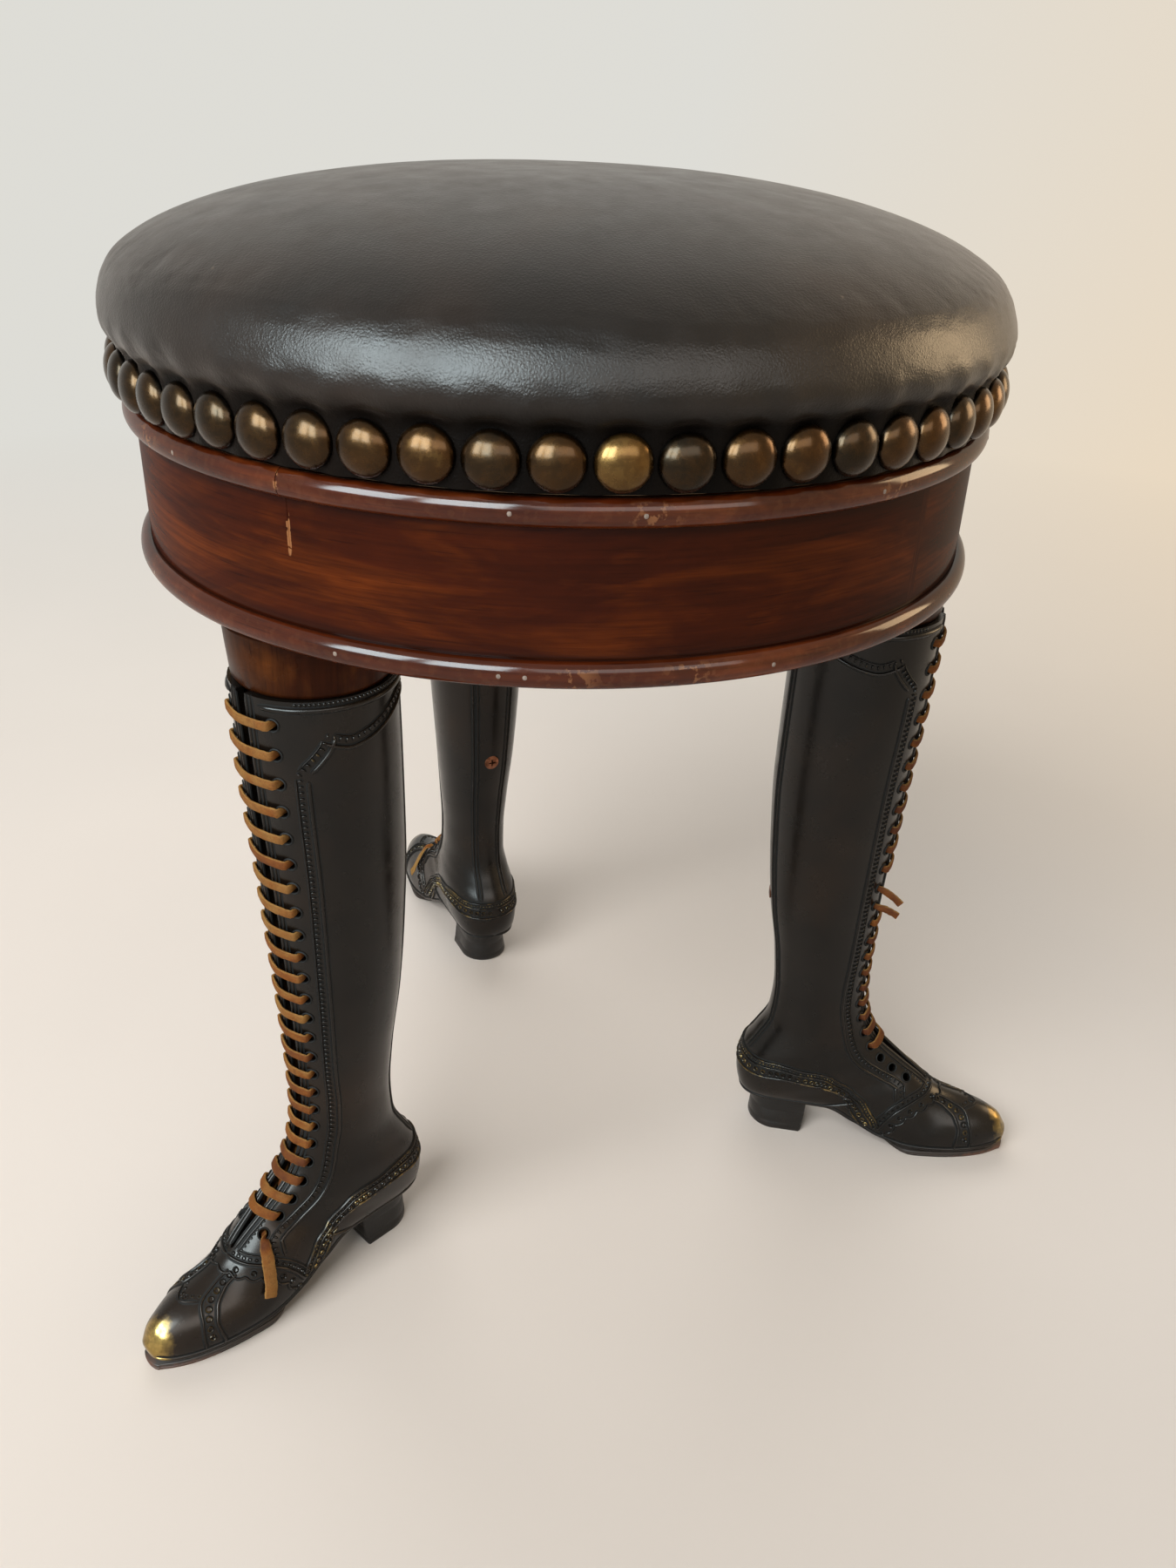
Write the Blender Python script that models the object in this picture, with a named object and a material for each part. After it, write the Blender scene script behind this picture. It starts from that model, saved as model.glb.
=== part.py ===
"""Tripod stool: a round leather seat on a mahogany drum, carried by three cast lace-up boots.

Metres, +Z up. The stool stands on z = 0, the origin is under the middle of its box, and one boot
points to -Y. Each leg is modelled once in a frame of its own: x runs outwards from the middle of
the leg post, y runs to the side and z starts at the floor.
"""
import math

import bmesh
import bpy
import numpy as np
from mathutils import Matrix, Vector

MM = 0.001

# Fits
GAP = 0.3 * MM  # between two pieces that touch

# Boot casting
BOOT_HEIGHT = 273.5 * MM
ANKLE_HEIGHT = 86.0 * MM
BOOT_WALL = 3.0 * MM
SLIT_WIDTH = 5.2 * MM
SLIT_TIP = 1.4 * MM  # its width where it ends on the instep
SLIT_SHARE = 0.18  # most that half of it takes of a section's half width
EYELET_PAIRS = 25
EYELET_ANGLE = 27.0  # degrees round the shaft from the slit's middle
EYELET_DROP = 6.0 * MM  # first pair below the rim
EYELET_MARGIN = 10.6 * MM  # last pair before the slit's end
EYELET_TAPER = 0.71  # last spacing over the first
EYELET_LAND = 1.0 * MM  # between an eyelet and the facet's edges
LAND_SHARE = 0.2  # most that half of it takes of a section's half width

# Laces
LACE_WIDTH = 3.2 * MM
LACE_THICK = 1.2 * MM
LACE_CLEAR = 0.5 * MM  # from the casting, and round the lace in its eyelet
LACE_TAIL = 26.0 * MM
TAIL_STEP = 0.7  # rows of the boot between the tail's stops
TAIL_ROUND = 17.0  # degrees round the foot in each row
LACE_END = 8.0 * MM  # loose ends of the torn lace
LACE_ARCH = 2.6  # lift of a crossing over the swell of the facing, in swells

# Soles and heels
SOLE_THICK = 3.1 * MM
SOLE_BACK = 44.0 * MM  # rear edge in front of the leg's middle
SOLE_EDGE = 0.6 * MM  # shows past the casting
SOLE_SHARE = 0.94  # tread over the boot's width
HEEL_HEIGHT = 17.7 * MM
HEEL_BACK = 23.0 * MM  # behind the leg's middle
HEEL_BREAST = 4.0 * MM  # in front of the leg's middle
HEEL_TOP_HALF = 11.3 * MM
HEEL_FLARE = 2.6 * MM

# Leg posts
LEG_INSET = 28.0 * MM  # leg's middle in from the hoop's outside
COLLAR_RADIUS = 29.4 * MM
COLLAR_TAPER = 1.4 * MM
COLLAR_HEIGHT = 24.6 * MM
PLUG_BELOW_SCREW = 20.0 * MM
LACE_ROOM = 9.6 * MM  # front of the plug behind the front of the boot
TENON_RADIUS = 12.0 * MM
WEDGE_THICK = 4.0 * MM
WEDGE_TIP = 1.2 * MM
WEDGE_LENGTH = 16.0 * MM

# Boot screws
SCREW_DROP = 139.5 * MM  # below the rim
SCREW_RADIUS = 1.9 * MM
SCREW_LENGTH = 20.0 * MM
SCREW_HEAD_RADIUS = 4.0 * MM
SCREW_HEAD_DEPTH = 2.2 * MM
CROSS_SLOT = 1.0 * MM

# Drum
HOOP_RADIUS = 158.0 * MM
HOOP_WALL = 10.0 * MM
HOOP_HEIGHT = 58.7 * MM
BEAD_HEIGHT = 9.0 * MM
BEAD_REACH = 3.8 * MM
BASE_THICK = 22.0 * MM
DRUM_SIDES = 40

# Seat
SEAT_BOARD_OVERHANG = 0.2 * MM
SEAT_BOARD_THICK = 20.0 * MM
DOWEL_RADIUS = 2.5 * MM
DOWEL_DEPTH = 14.0 * MM  # into each piece
DOWEL_SIDES = 10
LEATHER = 2.0 * MM
SEAT_SWELL = 5.7 * MM  # padding past the board
SWELL_HEIGHT = 12.5 * MM  # fullest line above the board
CROWN_HEIGHT = 53.0 * MM  # padding's top above the board
SKIRT_LIFT = 1.2 * MM  # hide's edge above the top bead

# Nails
NAIL_COUNT = 57
NAIL_RADIUS = 8.3 * MM
NAIL_DOME = 6.2 * MM
NAIL_DROP = 10.0 * MM  # middle of the row below the board's top
NAIL_LINK_THICK = 0.8 * MM
NAIL_CORNER = 1.08  # faceted head's corners over its radius
NAIL_CROWN = 0.62  # flat of the dome over the head

# Eyelets are square facets that clear the lace
EYELET_SIZE = LACE_WIDTH + 2 * LACE_CLEAR

# Radii and levels
LEG_RADIUS = HOOP_RADIUS - LEG_INSET
DRUM_Z = BOOT_HEIGHT + COLLAR_HEIGHT + 2 * GAP
HOOP_TOP = DRUM_Z + HOOP_HEIGHT
SEAT_Z = HOOP_TOP + GAP
SEAT_TOP = SEAT_Z + SEAT_BOARD_THICK
SEAT_BOARD_RADIUS = HOOP_RADIUS + SEAT_BOARD_OVERHANG
HIDE_RADIUS = SEAT_BOARD_RADIUS + GAP + LEATHER

# Boot sections from the rim to the toe, in row units in the leg's frame. Each row is a plane
# through the boot: its front point (x, z), its back or bottom point (x, z), half its width, where
# along it the boot is widest, and how square its lower half is. Shaft rows give z as a share of
# the height from the ankle to the rim. Foot rows are drawn at the levels below, and take the levels
# of the sole, the heel and the ankle.
ROW_UNIT = 1.0 * MM
DRAWN_FOREFOOT = 3.4
DRAWN_HEEL_SEAT = 18.0
DRAWN_INSTEP = 44.0
DRAWN_ANKLE = 86.0
SHAFT_ROWS = (
    (29.5, 1.00, -29.5, 28.5),
    (28.3, 0.82, -30.3, 27.2),
    (26.2, 0.61, -30.7, 25.0),
    (24.8, 0.42, -28.9, 22.8),
    (23.7, 0.25, -25.7, 20.6),
    (23.2, 0.10, -20.9, 18.2),
)
FOOT_ROWS = (
    (23.8, 86.0, -18.9, 82.0, 16.6, 0.50, 2.0),
    (26.0, 74.0, -20.0, 66.0, 16.4, 0.50, 2.0),
    (29.5, 65.0, -25.5, 53.0, 17.4, 0.52, 2.1),
    (34.0, 58.5, -30.5, 43.0, 18.8, 0.56, 2.2),
    (39.5, 53.5, -32.2, 32.0, 19.3, 0.60, 2.4),
    (45.0, 48.8, -29.5, 21.5, 18.4, 0.60, 2.8),
    (50.5, 44.0, -20.0, 18.0, 17.2, 0.55, 3.2),
    (56.0, 39.3, 5.0, 18.0, 17.0, 0.50, 3.2),
    (61.5, 34.4, 22.0, 12.2, 17.9, 0.52, 3.2),
    (67.5, 30.2, 38.0, 6.0, 18.9, 0.60, 3.6),
    (75.5, 27.2, 54.0, 3.6, 19.5, 0.70, 4.0),
    (84.5, 24.8, 70.0, 3.4, 17.9, 0.75, 4.4),
    (92.5, 22.2, 85.0, 3.4, 14.2, 0.75, 4.4),
    (98.8, 18.2, 94.5, 3.5, 9.8, 0.72, 4.0),
    (102.4, 12.6, 101.0, 5.0, 5.2, 0.60, 3.0),
)
TAPER_ROW = 10  # row from which the slit narrows
HEEL_ROW = 12  # first row that rests on the heel block
SLIT_ROW = 14  # row where the slit stops
BORE_ROW = 15  # row where the hollow stops
BACK_ANGLES = (62.0, 90.0, 112.5, 135.0, 157.5, 180.0)

# Legs: name, place round the stool, and how far the boot is turned on its post, in degrees
LEGS = (("front", -90.0, -5.0), ("right", 30.0, 0.0), ("left", 150.0, 6.0))


def material(name, colour, roughness, metallic=0.0):
    """A plain Principled material."""
    made = bpy.data.materials.new(name)
    made.use_nodes = True
    shader = made.node_tree.nodes["Principled BSDF"]
    shader.inputs["Base Color"].default_value = (*colour, 1.0)
    shader.inputs["Roughness"].default_value = roughness
    shader.inputs["Metallic"].default_value = metallic
    return made


def mesh_from(bm, name):
    """Close a bmesh into a mesh with its faces out and its round sides smooth."""
    bmesh.ops.recalc_face_normals(bm, faces=bm.faces)
    mesh = bpy.data.meshes.new(name)
    bm.to_mesh(mesh)
    bm.free()
    mesh.shade_smooth()
    mesh.set_sharp_from_angle(angle=math.radians(35))
    return mesh


def place(name, mesh, look, parent):
    """Put a mesh into the scene as a named piece."""
    piece = bpy.data.objects.new(name, mesh)
    bpy.context.collection.objects.link(piece)
    piece.parent = parent
    if not mesh.materials:
        mesh.materials.append(look)
    return piece


def empty(name, parent=None, location=(0, 0, 0), turn=0.0):
    """A frame that pieces hang on."""
    frame = bpy.data.objects.new(name, None)
    bpy.context.collection.objects.link(frame)
    frame.parent = parent
    frame.location = location
    frame.rotation_euler = (0, 0, math.radians(turn))
    return frame


def carved(mesh, cutter, operation="DIFFERENCE"):
    """The mesh after an exact Boolean with another mesh."""
    body = bpy.data.objects.new("body", mesh)
    tool = bpy.data.objects.new("tool", cutter)
    for item in (body, tool):
        bpy.context.collection.objects.link(item)
    cut = body.modifiers.new("cut", "BOOLEAN")
    cut.operation = operation
    cut.object = tool
    cut.solver = "EXACT"
    graph = bpy.context.evaluated_depsgraph_get()
    result = bpy.data.meshes.new_from_object(body.evaluated_get(graph))
    for item in (body, tool):
        bpy.data.objects.remove(item)
    result.shade_smooth()
    result.set_sharp_from_angle(angle=math.radians(35))
    return result


def turned(name, profile, sides, closed=False, phase=0.0):
    """Spin a profile of (radius, z) points round z; phase is in steps."""
    bm = bmesh.new()
    turn = Matrix.Rotation(2 * math.pi * phase / sides, 4, "Z")
    points = [bm.verts.new(turn @ Vector((radius, 0, z))) for radius, z in profile]
    edges = [bm.edges.new(pair) for pair in zip(points, points[1:])]
    if closed:
        edges.append(bm.edges.new((points[-1], points[0])))
    path = {"cent": (0, 0, 0), "axis": (0, 0, 1), "angle": 2 * math.pi, "steps": sides}
    bmesh.ops.spin(bm, geom=points + edges, use_merge=True, **path)
    bmesh.ops.remove_doubles(bm, verts=bm.verts, dist=1e-6)
    bmesh.ops.dissolve_degenerate(bm, edges=bm.edges, dist=1e-6)
    return mesh_from(bm, name)


def lofted(name, rings):
    """Skin closed rings of equal count, with flat ends."""
    bm = bmesh.new()
    loops = [[bm.verts.new(point) for point in ring] for ring in rings]
    for near, far in zip(loops, loops[1:]):
        for i in range(len(near)):
            j = (i + 1) % len(near)
            bm.faces.new((near[i], near[j], far[j], far[i]))
    bm.faces.new(loops[0][::-1])
    bm.faces.new(loops[-1])
    return mesh_from(bm, name)


def prisms(name, frames, radius, length, sides):
    """Straight bars of equal size, one along z of each frame."""
    bm = bmesh.new()
    for frame in frames:
        bmesh.ops.create_cone(
            bm, cap_ends=True, segments=sides, radius1=radius, radius2=radius, depth=length, matrix=frame
        )
    return mesh_from(bm, name)


def blocks(name, frames, size):
    """Blocks of equal size, one in the middle of each frame."""
    bm = bmesh.new()
    for frame in frames:
        bmesh.ops.create_cube(bm, size=1.0, matrix=frame @ Matrix.Diagonal((*size, 1)))
    return mesh_from(bm, name)


def foot_level(z):
    """Level of a point that is drawn at z row units, for this sole, heel and ankle."""
    drawn = (0.0, DRAWN_FOREFOOT, DRAWN_HEEL_SEAT, DRAWN_INSTEP, DRAWN_ANKLE)
    made = (0.0, SOLE_THICK + GAP, HEEL_HEIGHT + GAP, DRAWN_INSTEP * ROW_UNIT, ANKLE_HEIGHT)
    return float(np.interp(z, drawn, made))


def design_rows():
    """The boot's sections in metres, with the shaft set out between the ankle and the rim."""
    rows = []
    for front, share, back, half in SHAFT_ROWS:
        z = ANKLE_HEIGHT + share * (BOOT_HEIGHT - ANKLE_HEIGHT)
        rows.append((front * ROW_UNIT, z, back * ROW_UNIT, z, half * ROW_UNIT, 0.5, 2.0))
    for front_x, front_z, back_x, back_z, half, widest, square in FOOT_ROWS:
        front = (front_x * ROW_UNIT, foot_level(front_z))
        back = (back_x * ROW_UNIT, foot_level(back_z))
        rows.append((*front, *back, half * ROW_UNIT, widest, square))
    return rows


def front_step(a, b):
    """Length of the boot's front line between two rows."""
    return math.hypot(b[0] - a[0], b[1] - a[1])


def row_down(rows, distance):
    """The section at a distance down the front line."""
    walked = 0.0
    for a, b in zip(rows, rows[1:]):
        step = front_step(a, b)
        if walked + step >= distance:
            share = (distance - walked) / step
            return tuple(p + (q - p) * share for p, q in zip(a, b))
        walked += step
    return rows[-1]


def front_distance(rows, number):
    """Distance of one row down the front line."""
    return sum(front_step(a, b) for a, b in zip(rows[:number], rows[1 : number + 1]))


def eyelet_distances(rows):
    """Distances of the eyelet pairs down the front line, closer together towards the toe."""
    room = front_distance(rows, SLIT_ROW) - EYELET_DROP - EYELET_MARGIN
    spaces = [1 + (EYELET_TAPER - 1) * k / (EYELET_PAIRS - 2) for k in range(EYELET_PAIRS - 1)]
    unit = room / sum(spaces)
    return [EYELET_DROP + unit * sum(spaces[:k]) for k in range(EYELET_PAIRS)]


def facet_rows():
    """Rows of the casting's facets: half way between eyelet pairs down to the heel, then as drawn."""
    rows = design_rows()
    pairs = eyelet_distances(rows)
    chosen = [k for k in range(EYELET_PAIRS - 1) if k % 4 == 3 or k >= EYELET_PAIRS - 7]
    middles = [(pairs[k] + pairs[k + 1]) / 2 for k in chosen]
    foot = front_distance(rows, HEEL_ROW) - EYELET_SIZE / 2
    upper = [row_down(rows, middle) for middle in middles if middle < foot]
    return [rows[0]] + upper + rows[HEEL_ROW:], pairs, len(upper) + 1 + SLIT_ROW - HEEL_ROW


ROWS, EYELETS, SLIT_END = facet_rows()
BORE_END = SLIT_END + BORE_ROW - SLIT_ROW
SLIT_NARROWS = [design_rows()[number][0] for number in (TAPER_ROW, SLIT_ROW)]


def section_point(row, angle, inset=0.0):
    """Point on one section, with the angle in degrees from its front point to its back point."""
    front_x, front_z, back_x, back_z, half, widest, square = row
    front = Vector((front_x, 0, front_z))
    back = Vector((back_x, 0, back_z))
    along = (back - front).normalized()
    length = (back - front).length - 2 * inset
    turn = math.radians(angle)
    ahead, side = math.cos(turn), math.sin(turn)
    power = 2.0 if ahead > 0 else square
    reach = (abs(ahead) ** power + abs(side) ** power) ** (-1 / power)
    middle = inset + widest * length
    share = widest if ahead > 0 else 1 - widest
    point = front + along * (middle - ahead * reach * share * length)
    point.y = side * reach * (half - inset)
    return point


def section_angles(row, inset=0.0):
    """Angles of one side's columns: the slit's edge, both sides of the eyelets, then the back."""
    half = row[4] - inset
    slit = float(np.interp(row[0], SLIT_NARROWS, (SLIT_WIDTH, SLIT_TIP)))
    edge = math.degrees(math.asin(min(slit / 2 / half, SLIT_SHARE)))
    land = math.degrees(math.asin(min((EYELET_SIZE / 2 + EYELET_LAND) / row[4], LAND_SHARE)))
    return (edge, EYELET_ANGLE - land, EYELET_ANGLE + land, *BACK_ANGLES)


def section_ring(row, inset=0.0):
    """One section's points, from one slit edge round the back to the other."""
    side = [section_point(row, angle, inset) for angle in section_angles(row, inset)]
    other = [Vector((p.x, -p.y, p.z)) for p in side[-2::-1]]
    return side + other


def boot_mesh():
    """The hollow casting: outer skin, bore, rim, slit edges, bore end and toe."""
    bm = bmesh.new()
    outer = [[bm.verts.new(p) for p in section_ring(row)] for row in ROWS]
    inner = [[bm.verts.new(p) for p in section_ring(row, BOOT_WALL)] for row in ROWS[: BORE_END + 1]]
    for skin in (outer, inner):
        for number, (near, far) in enumerate(zip(skin, skin[1:])):
            for i in range(len(near) - 1):
                bm.faces.new((near[i], near[i + 1], far[i + 1], far[i]))
            if number >= SLIT_END:
                bm.faces.new((near[-1], near[0], far[0], far[-1]))
    for i in range(len(outer[0]) - 1):
        bm.faces.new((outer[0][i], outer[0][i + 1], inner[0][i + 1], inner[0][i]))
    for side in (0, -1):
        for k in range(SLIT_END):
            bm.faces.new((outer[k][side], outer[k + 1][side], inner[k + 1][side], inner[k][side]))
    stop = SLIT_END
    bm.faces.new((outer[stop][0], outer[stop][-1], inner[stop][-1], inner[stop][0]))
    bm.faces.new(inner[-1])
    bm.faces.new(outer[-1])
    return mesh_from(bm, "boot_skin")


def row_at(distance):
    """The facet row's number, with its fraction, at a distance down the front line."""
    walked = 0.0
    for number, (a, b) in enumerate(zip(ROWS, ROWS[1:])):
        step = front_step(a, b)
        if walked + step >= distance:
            return number + (distance - walked) / step
        walked += step
    return float(len(ROWS) - 1)


def skin_frame(place_on, angle):
    """Point, outward normal and downward direction on the casting's facets; angle is signed."""
    number = min(int(place_on), len(ROWS) - 2)
    share = place_on - number
    side = 1.0 if angle >= 0 else -1.0

    def on_row(row):
        angles = section_angles(row)
        steps = list(zip(angles, angles[1:]))
        low, high = next((pair for pair in steps if abs(angle) <= pair[1]), steps[-1])
        part = (abs(angle) - low) / (high - low)
        a = section_point(row, low)
        b = section_point(row, high)
        point = a.lerp(b, part)
        across = b - a
        return Vector((point.x, side * point.y, point.z)), Vector((across.x, side * across.y, across.z))

    upper, across_upper = on_row(ROWS[number])
    lower, across_lower = on_row(ROWS[number + 1])
    down = (lower - upper).normalized()
    across = across_upper.lerp(across_lower, share) * side
    normal = down.cross(across).normalized()
    point = upper.lerp(lower, share)
    if normal.dot(Vector((1, 0, 0.6))) < 0:
        normal = -normal
    if angle == 0:
        point.y = normal.y = down.y = 0.0
    return point, normal.normalized(), down.normalized()


OVER = LACE_THICK / 2 + LACE_CLEAR
UNDER = -(BOOT_WALL + LACE_THICK / 2 + LACE_CLEAR)


def eyelet_frame(pair, side):
    """Frame of one eyelet, with z along its axis."""
    point, normal, down = skin_frame(row_at(EYELETS[pair]), side * EYELET_ANGLE)
    frame = Matrix.Translation(point - normal * BOOT_WALL / 2)
    return frame @ Matrix((down, normal.cross(down), normal)).transposed().to_4x4()


def lace_stop(pair, angle, height):
    """One stop of a lace: its point and the direction of its width."""
    number = min(int(pair), EYELET_PAIRS - 2)
    distance = EYELETS[number] + (EYELETS[number + 1] - EYELETS[number]) * (pair - number)
    point, normal, down = skin_frame(row_at(distance), angle)
    return point + normal * height, down


def lace_bar(pair, side):
    """Stops of one visible crossing, out of one eyelet and over the swell of the facing into the other."""
    wide = side * EYELET_ANGLE
    ends = [lace_stop(pair, angle, OVER) for angle in (-wide, 0.0, wide)]
    swell = lace_stop(pair, wide / 2, OVER)[0] - (ends[1][0] + ends[2][0]) / 2
    return [ends[0], lace_stop(pair, 0.0, OVER + LACE_ARCH * swell.length), ends[2]]


def lace_back(pair, side):
    """Stops of the run behind the slit, from one pair down to the next."""
    wide = side * EYELET_ANGLE
    return [
        lace_stop(pair, wide, UNDER),
        lace_stop(pair + 0.5, 0.0, UNDER),
        lace_stop(pair + 1, -wide, UNDER),
    ]


def lacing(first, last, side):
    """Stops of a spiral lacing between two pairs; side is where each crossing goes in."""
    stops = [lace_stop(first, -side * EYELET_ANGLE, UNDER)]
    for pair in range(first, last + 1):
        stops += lace_bar(pair, side)
        if pair < last:
            stops += lace_back(pair, side)
    stops.append(lace_stop(last, side * EYELET_ANGLE, UNDER))
    return stops


def tail_out(pair, side):
    """Stops that bring a lace's end out of an eyelet, a quarter turned, and lay it on the vamp."""
    place_on = row_at(EYELETS[pair])
    angle = side * EYELET_ANGLE
    point, up, down = skin_frame(place_on, angle)
    across = up.cross(down)
    turning = lace_stop(pair - 0.4, angle * 0.35, UNDER)
    stops = [(turning[0], (turning[1] + across).normalized())]
    stops += [(point + up * UNDER, across), (point + up * OVER, across)]
    travelled = 0.0
    while travelled < LACE_TAIL:
        place_on += TAIL_STEP
        angle += side * TAIL_ROUND * TAIL_STEP
        ahead, up, down = skin_frame(place_on, angle)
        step = ahead - point
        travelled += step.length
        point = ahead
        stops.append((ahead + up * (OVER + LACE_CLEAR), up.cross(step).normalized()))
    return stops


def loose_end(pair, side, drop):
    """Stops that bring a torn end out of an eyelet and let it stand forward."""
    inside = lace_stop(pair, side * EYELET_ANGLE, UNDER)
    out = lace_stop(pair, side * EYELET_ANGLE, OVER)
    forward = Vector((1.0, side * 0.35, -drop)).normalized()
    return [inside, out, (out[0] + forward * LACE_END, out[1])]


def least_gap(stops):
    """Least clear space between stretches of one lace that aren't neighbours."""
    points = [stop[0] for stop in stops]
    middles = [(a + b) / 2 for a, b in zip(points, points[1:])]
    best = math.inf
    for i, a in enumerate(middles):
        for b in middles[i + 4 :]:
            best = min(best, (a - b).length)
    return best - LACE_WIDTH


def lace_mesh(name, stops):
    """Sweep the flat thong along its stops as one unbroken strip."""
    print(f"{name}: least gap to itself {least_gap(stops) / MM:.2f} mm")
    points = [stop[0] for stop in stops]
    steps = [(b - a).normalized() for a, b in zip(points, points[1:])]
    rings = []
    for i, (point, width) in enumerate(stops):
        before = steps[max(i - 1, 0)]
        after = steps[min(i, len(steps) - 1)]
        ahead = (before + after).normalized()
        flat = ahead.cross(width).normalized()
        broad = flat.cross(ahead).normalized() * LACE_WIDTH / 2
        thick = flat * LACE_THICK / 2 / max(ahead.dot(after), 0.6)
        signs = ((1, 1), (-1, 1), (-1, -1), (1, -1))
        rings.append([point + broad * across + thick * up for across, up in signs])
    return lofted(name, rings)


def lace_meshes():
    """Meshes of the laces by the leg that they lace, each with its node's name."""
    low = EYELET_PAIRS - 2
    torn = EYELET_PAIRS // 2 - 1
    whole = lacing(0, low, -1) + tail_out(low + 1, 1)
    upper = lacing(0, torn - 1, 1) + lace_back(torn - 1, 1)[1:2] + loose_end(torn, -1, 0.35)
    lower = loose_end(torn + 1, -1, 0.0)[::-1] + lace_back(torn + 1, -1)[1:2] + lacing(torn + 2, low - 2, -1)
    whole_mesh = lace_mesh("whole_lace", whole)
    return {
        "front": {"lace_front": whole_mesh},
        "left": {"lace_left": whole_mesh},
        "right": {
            "lace_right_upper": lace_mesh("upper_lace", upper),
            "lace_right_lower": lace_mesh("lower_lace", lower),
        },
    }


def sole_mesh():
    """Half sole under the forefoot, cut to the casting's lower edge."""
    edge = []
    for near, far in zip(ROWS, ROWS[1:]):
        for share in (0.0, 0.5):
            x = near[2] + (far[2] - near[2]) * share
            half = near[4] + (far[4] - near[4]) * share
            if near[3] < HEEL_HEIGHT and x >= SOLE_BACK:
                edge.append((x, half * SOLE_SHARE + SOLE_EDGE))
    tip = ROWS[-1][0] + SOLE_EDGE
    edge = [(SOLE_BACK, edge[0][1])] + edge[1:]
    edge.append((tip, ROWS[-1][4] * SOLE_SHARE))
    outline = edge + [(x, -half) for x, half in reversed(edge)]
    return lofted("half_sole", [[Vector((x, y, z)) for x, y in outline] for z in (0.0, SOLE_THICK)])


def heel_ring(z, grow):
    """D-shaped outline of the heel block at one height."""
    half = HEEL_TOP_HALF + grow
    back = HEEL_BACK + grow * 0.3
    straight = half
    ring = [Vector((HEEL_BREAST, -half, z))]
    for i in range(11):
        turn = math.radians(-90 - 18 * i)
        x = -(back - straight) + straight * math.cos(turn)
        ring.append(Vector((x, half * math.sin(turn), z)))
    ring.append(Vector((HEEL_BREAST, half, z)))
    return ring


def heel_mesh():
    """Heel block, narrow under the casting and flared at the floor."""
    levels = ((0.0, 1.0), (0.22, 0.8), (0.6, 0.25), (1.0, 0.0))
    rings = [heel_ring(HEEL_HEIGHT * share, HEEL_FLARE * grow) for share, grow in levels]
    return lofted("heel_block", rings)


def screw_profile(clear=0.0):
    """Half outline of the boot screw along its axis, head at z = 0 and point below."""
    head, shank = SCREW_HEAD_RADIUS + clear, SCREW_RADIUS + clear
    return (
        (0.0, 0.0 if not clear else BOOT_WALL),
        (head, 0.0 if not clear else BOOT_WALL),
        (head, -0.3 * MM),
        (shank, -SCREW_HEAD_DEPTH - clear),
        (shank, -SCREW_LENGTH + 2 * shank),
        (0.0, -SCREW_LENGTH - clear),
    )


def screw_frame():
    """Frame of the boot screw: z points out of the boot's back, at the leg's middle plane."""
    z = BOOT_HEIGHT - SCREW_DROP
    for upper, lower in zip(ROWS, ROWS[1:]):
        if upper[3] >= z >= lower[3]:
            share = (upper[3] - z) / (upper[3] - lower[3])
            x = upper[2] + (lower[2] - upper[2]) * share
            break
    frame = Matrix((Vector((0, 1, 0)), Vector((0, 0, -1)), Vector((-1, 0, 0)))).transposed().to_4x4()
    return Matrix.Translation((x, 0, z)) @ frame


def post_mesh():
    """Turned collar with a tenon above it and a plug that fits the boot's bore below it."""
    shoulder = BOOT_HEIGHT + GAP
    collar_top = DRUM_Z - GAP
    tenon_top = DRUM_Z + BASE_THICK - GAP
    low_radius = COLLAR_RADIUS - COLLAR_TAPER
    collar = turned(
        "collar",
        (
            (0, tenon_top),
            (TENON_RADIUS, tenon_top),
            (TENON_RADIUS, collar_top),
            (COLLAR_RADIUS, collar_top),
            (low_radius, shoulder),
            (0, shoulder),
        ),
        20,
    )
    rings = [[Vector((p.x, p.y, shoulder + COLLAR_HEIGHT / 2)) for p in plug_ring(ROWS[0])]]
    low = BOOT_HEIGHT - SCREW_DROP - PLUG_BELOW_SCREW
    for upper, lower in zip(ROWS, ROWS[1:]):
        if upper[1] > low:
            rings.append(plug_ring(upper))
        if upper[1] > low > lower[1]:
            share = (upper[1] - low) / (upper[1] - lower[1])
            rings.append(plug_ring(tuple(a + (b - a) * share for a, b in zip(upper, lower))))
    return carved(collar, lofted("plug", rings), "UNION")


def plug_ring(row):
    """Outline of the plug in the bore, flat in front to leave room for the laces."""
    front = row[0] - LACE_ROOM
    return [Vector((min(p.x, front), p.y, p.z)) for p in section_ring(row, BOOT_WALL + GAP)]


def wedge_mesh(clear=0.0):
    """Wedge in the tenon's saw cut, thick end up; clear gives the cut instead."""
    top = DRUM_Z + BASE_THICK - GAP
    half = TENON_RADIUS * 0.94 if not clear else TENON_RADIUS * 1.2
    high = top if not clear else top + BASE_THICK
    thick = WEDGE_THICK / 2 + clear
    tip = WEDGE_TIP / 2 + clear
    low = top - WEDGE_LENGTH - clear
    rings = []
    for z, x in ((low, tip), (top, thick), (high, thick)) if clear else ((low, tip), (top, thick)):
        rings.append([Vector((sx * x, sy * half, z)) for sx, sy in ((1, 1), (-1, 1), (-1, -1), (1, -1))])
    return lofted("wedge", rings)


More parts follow.
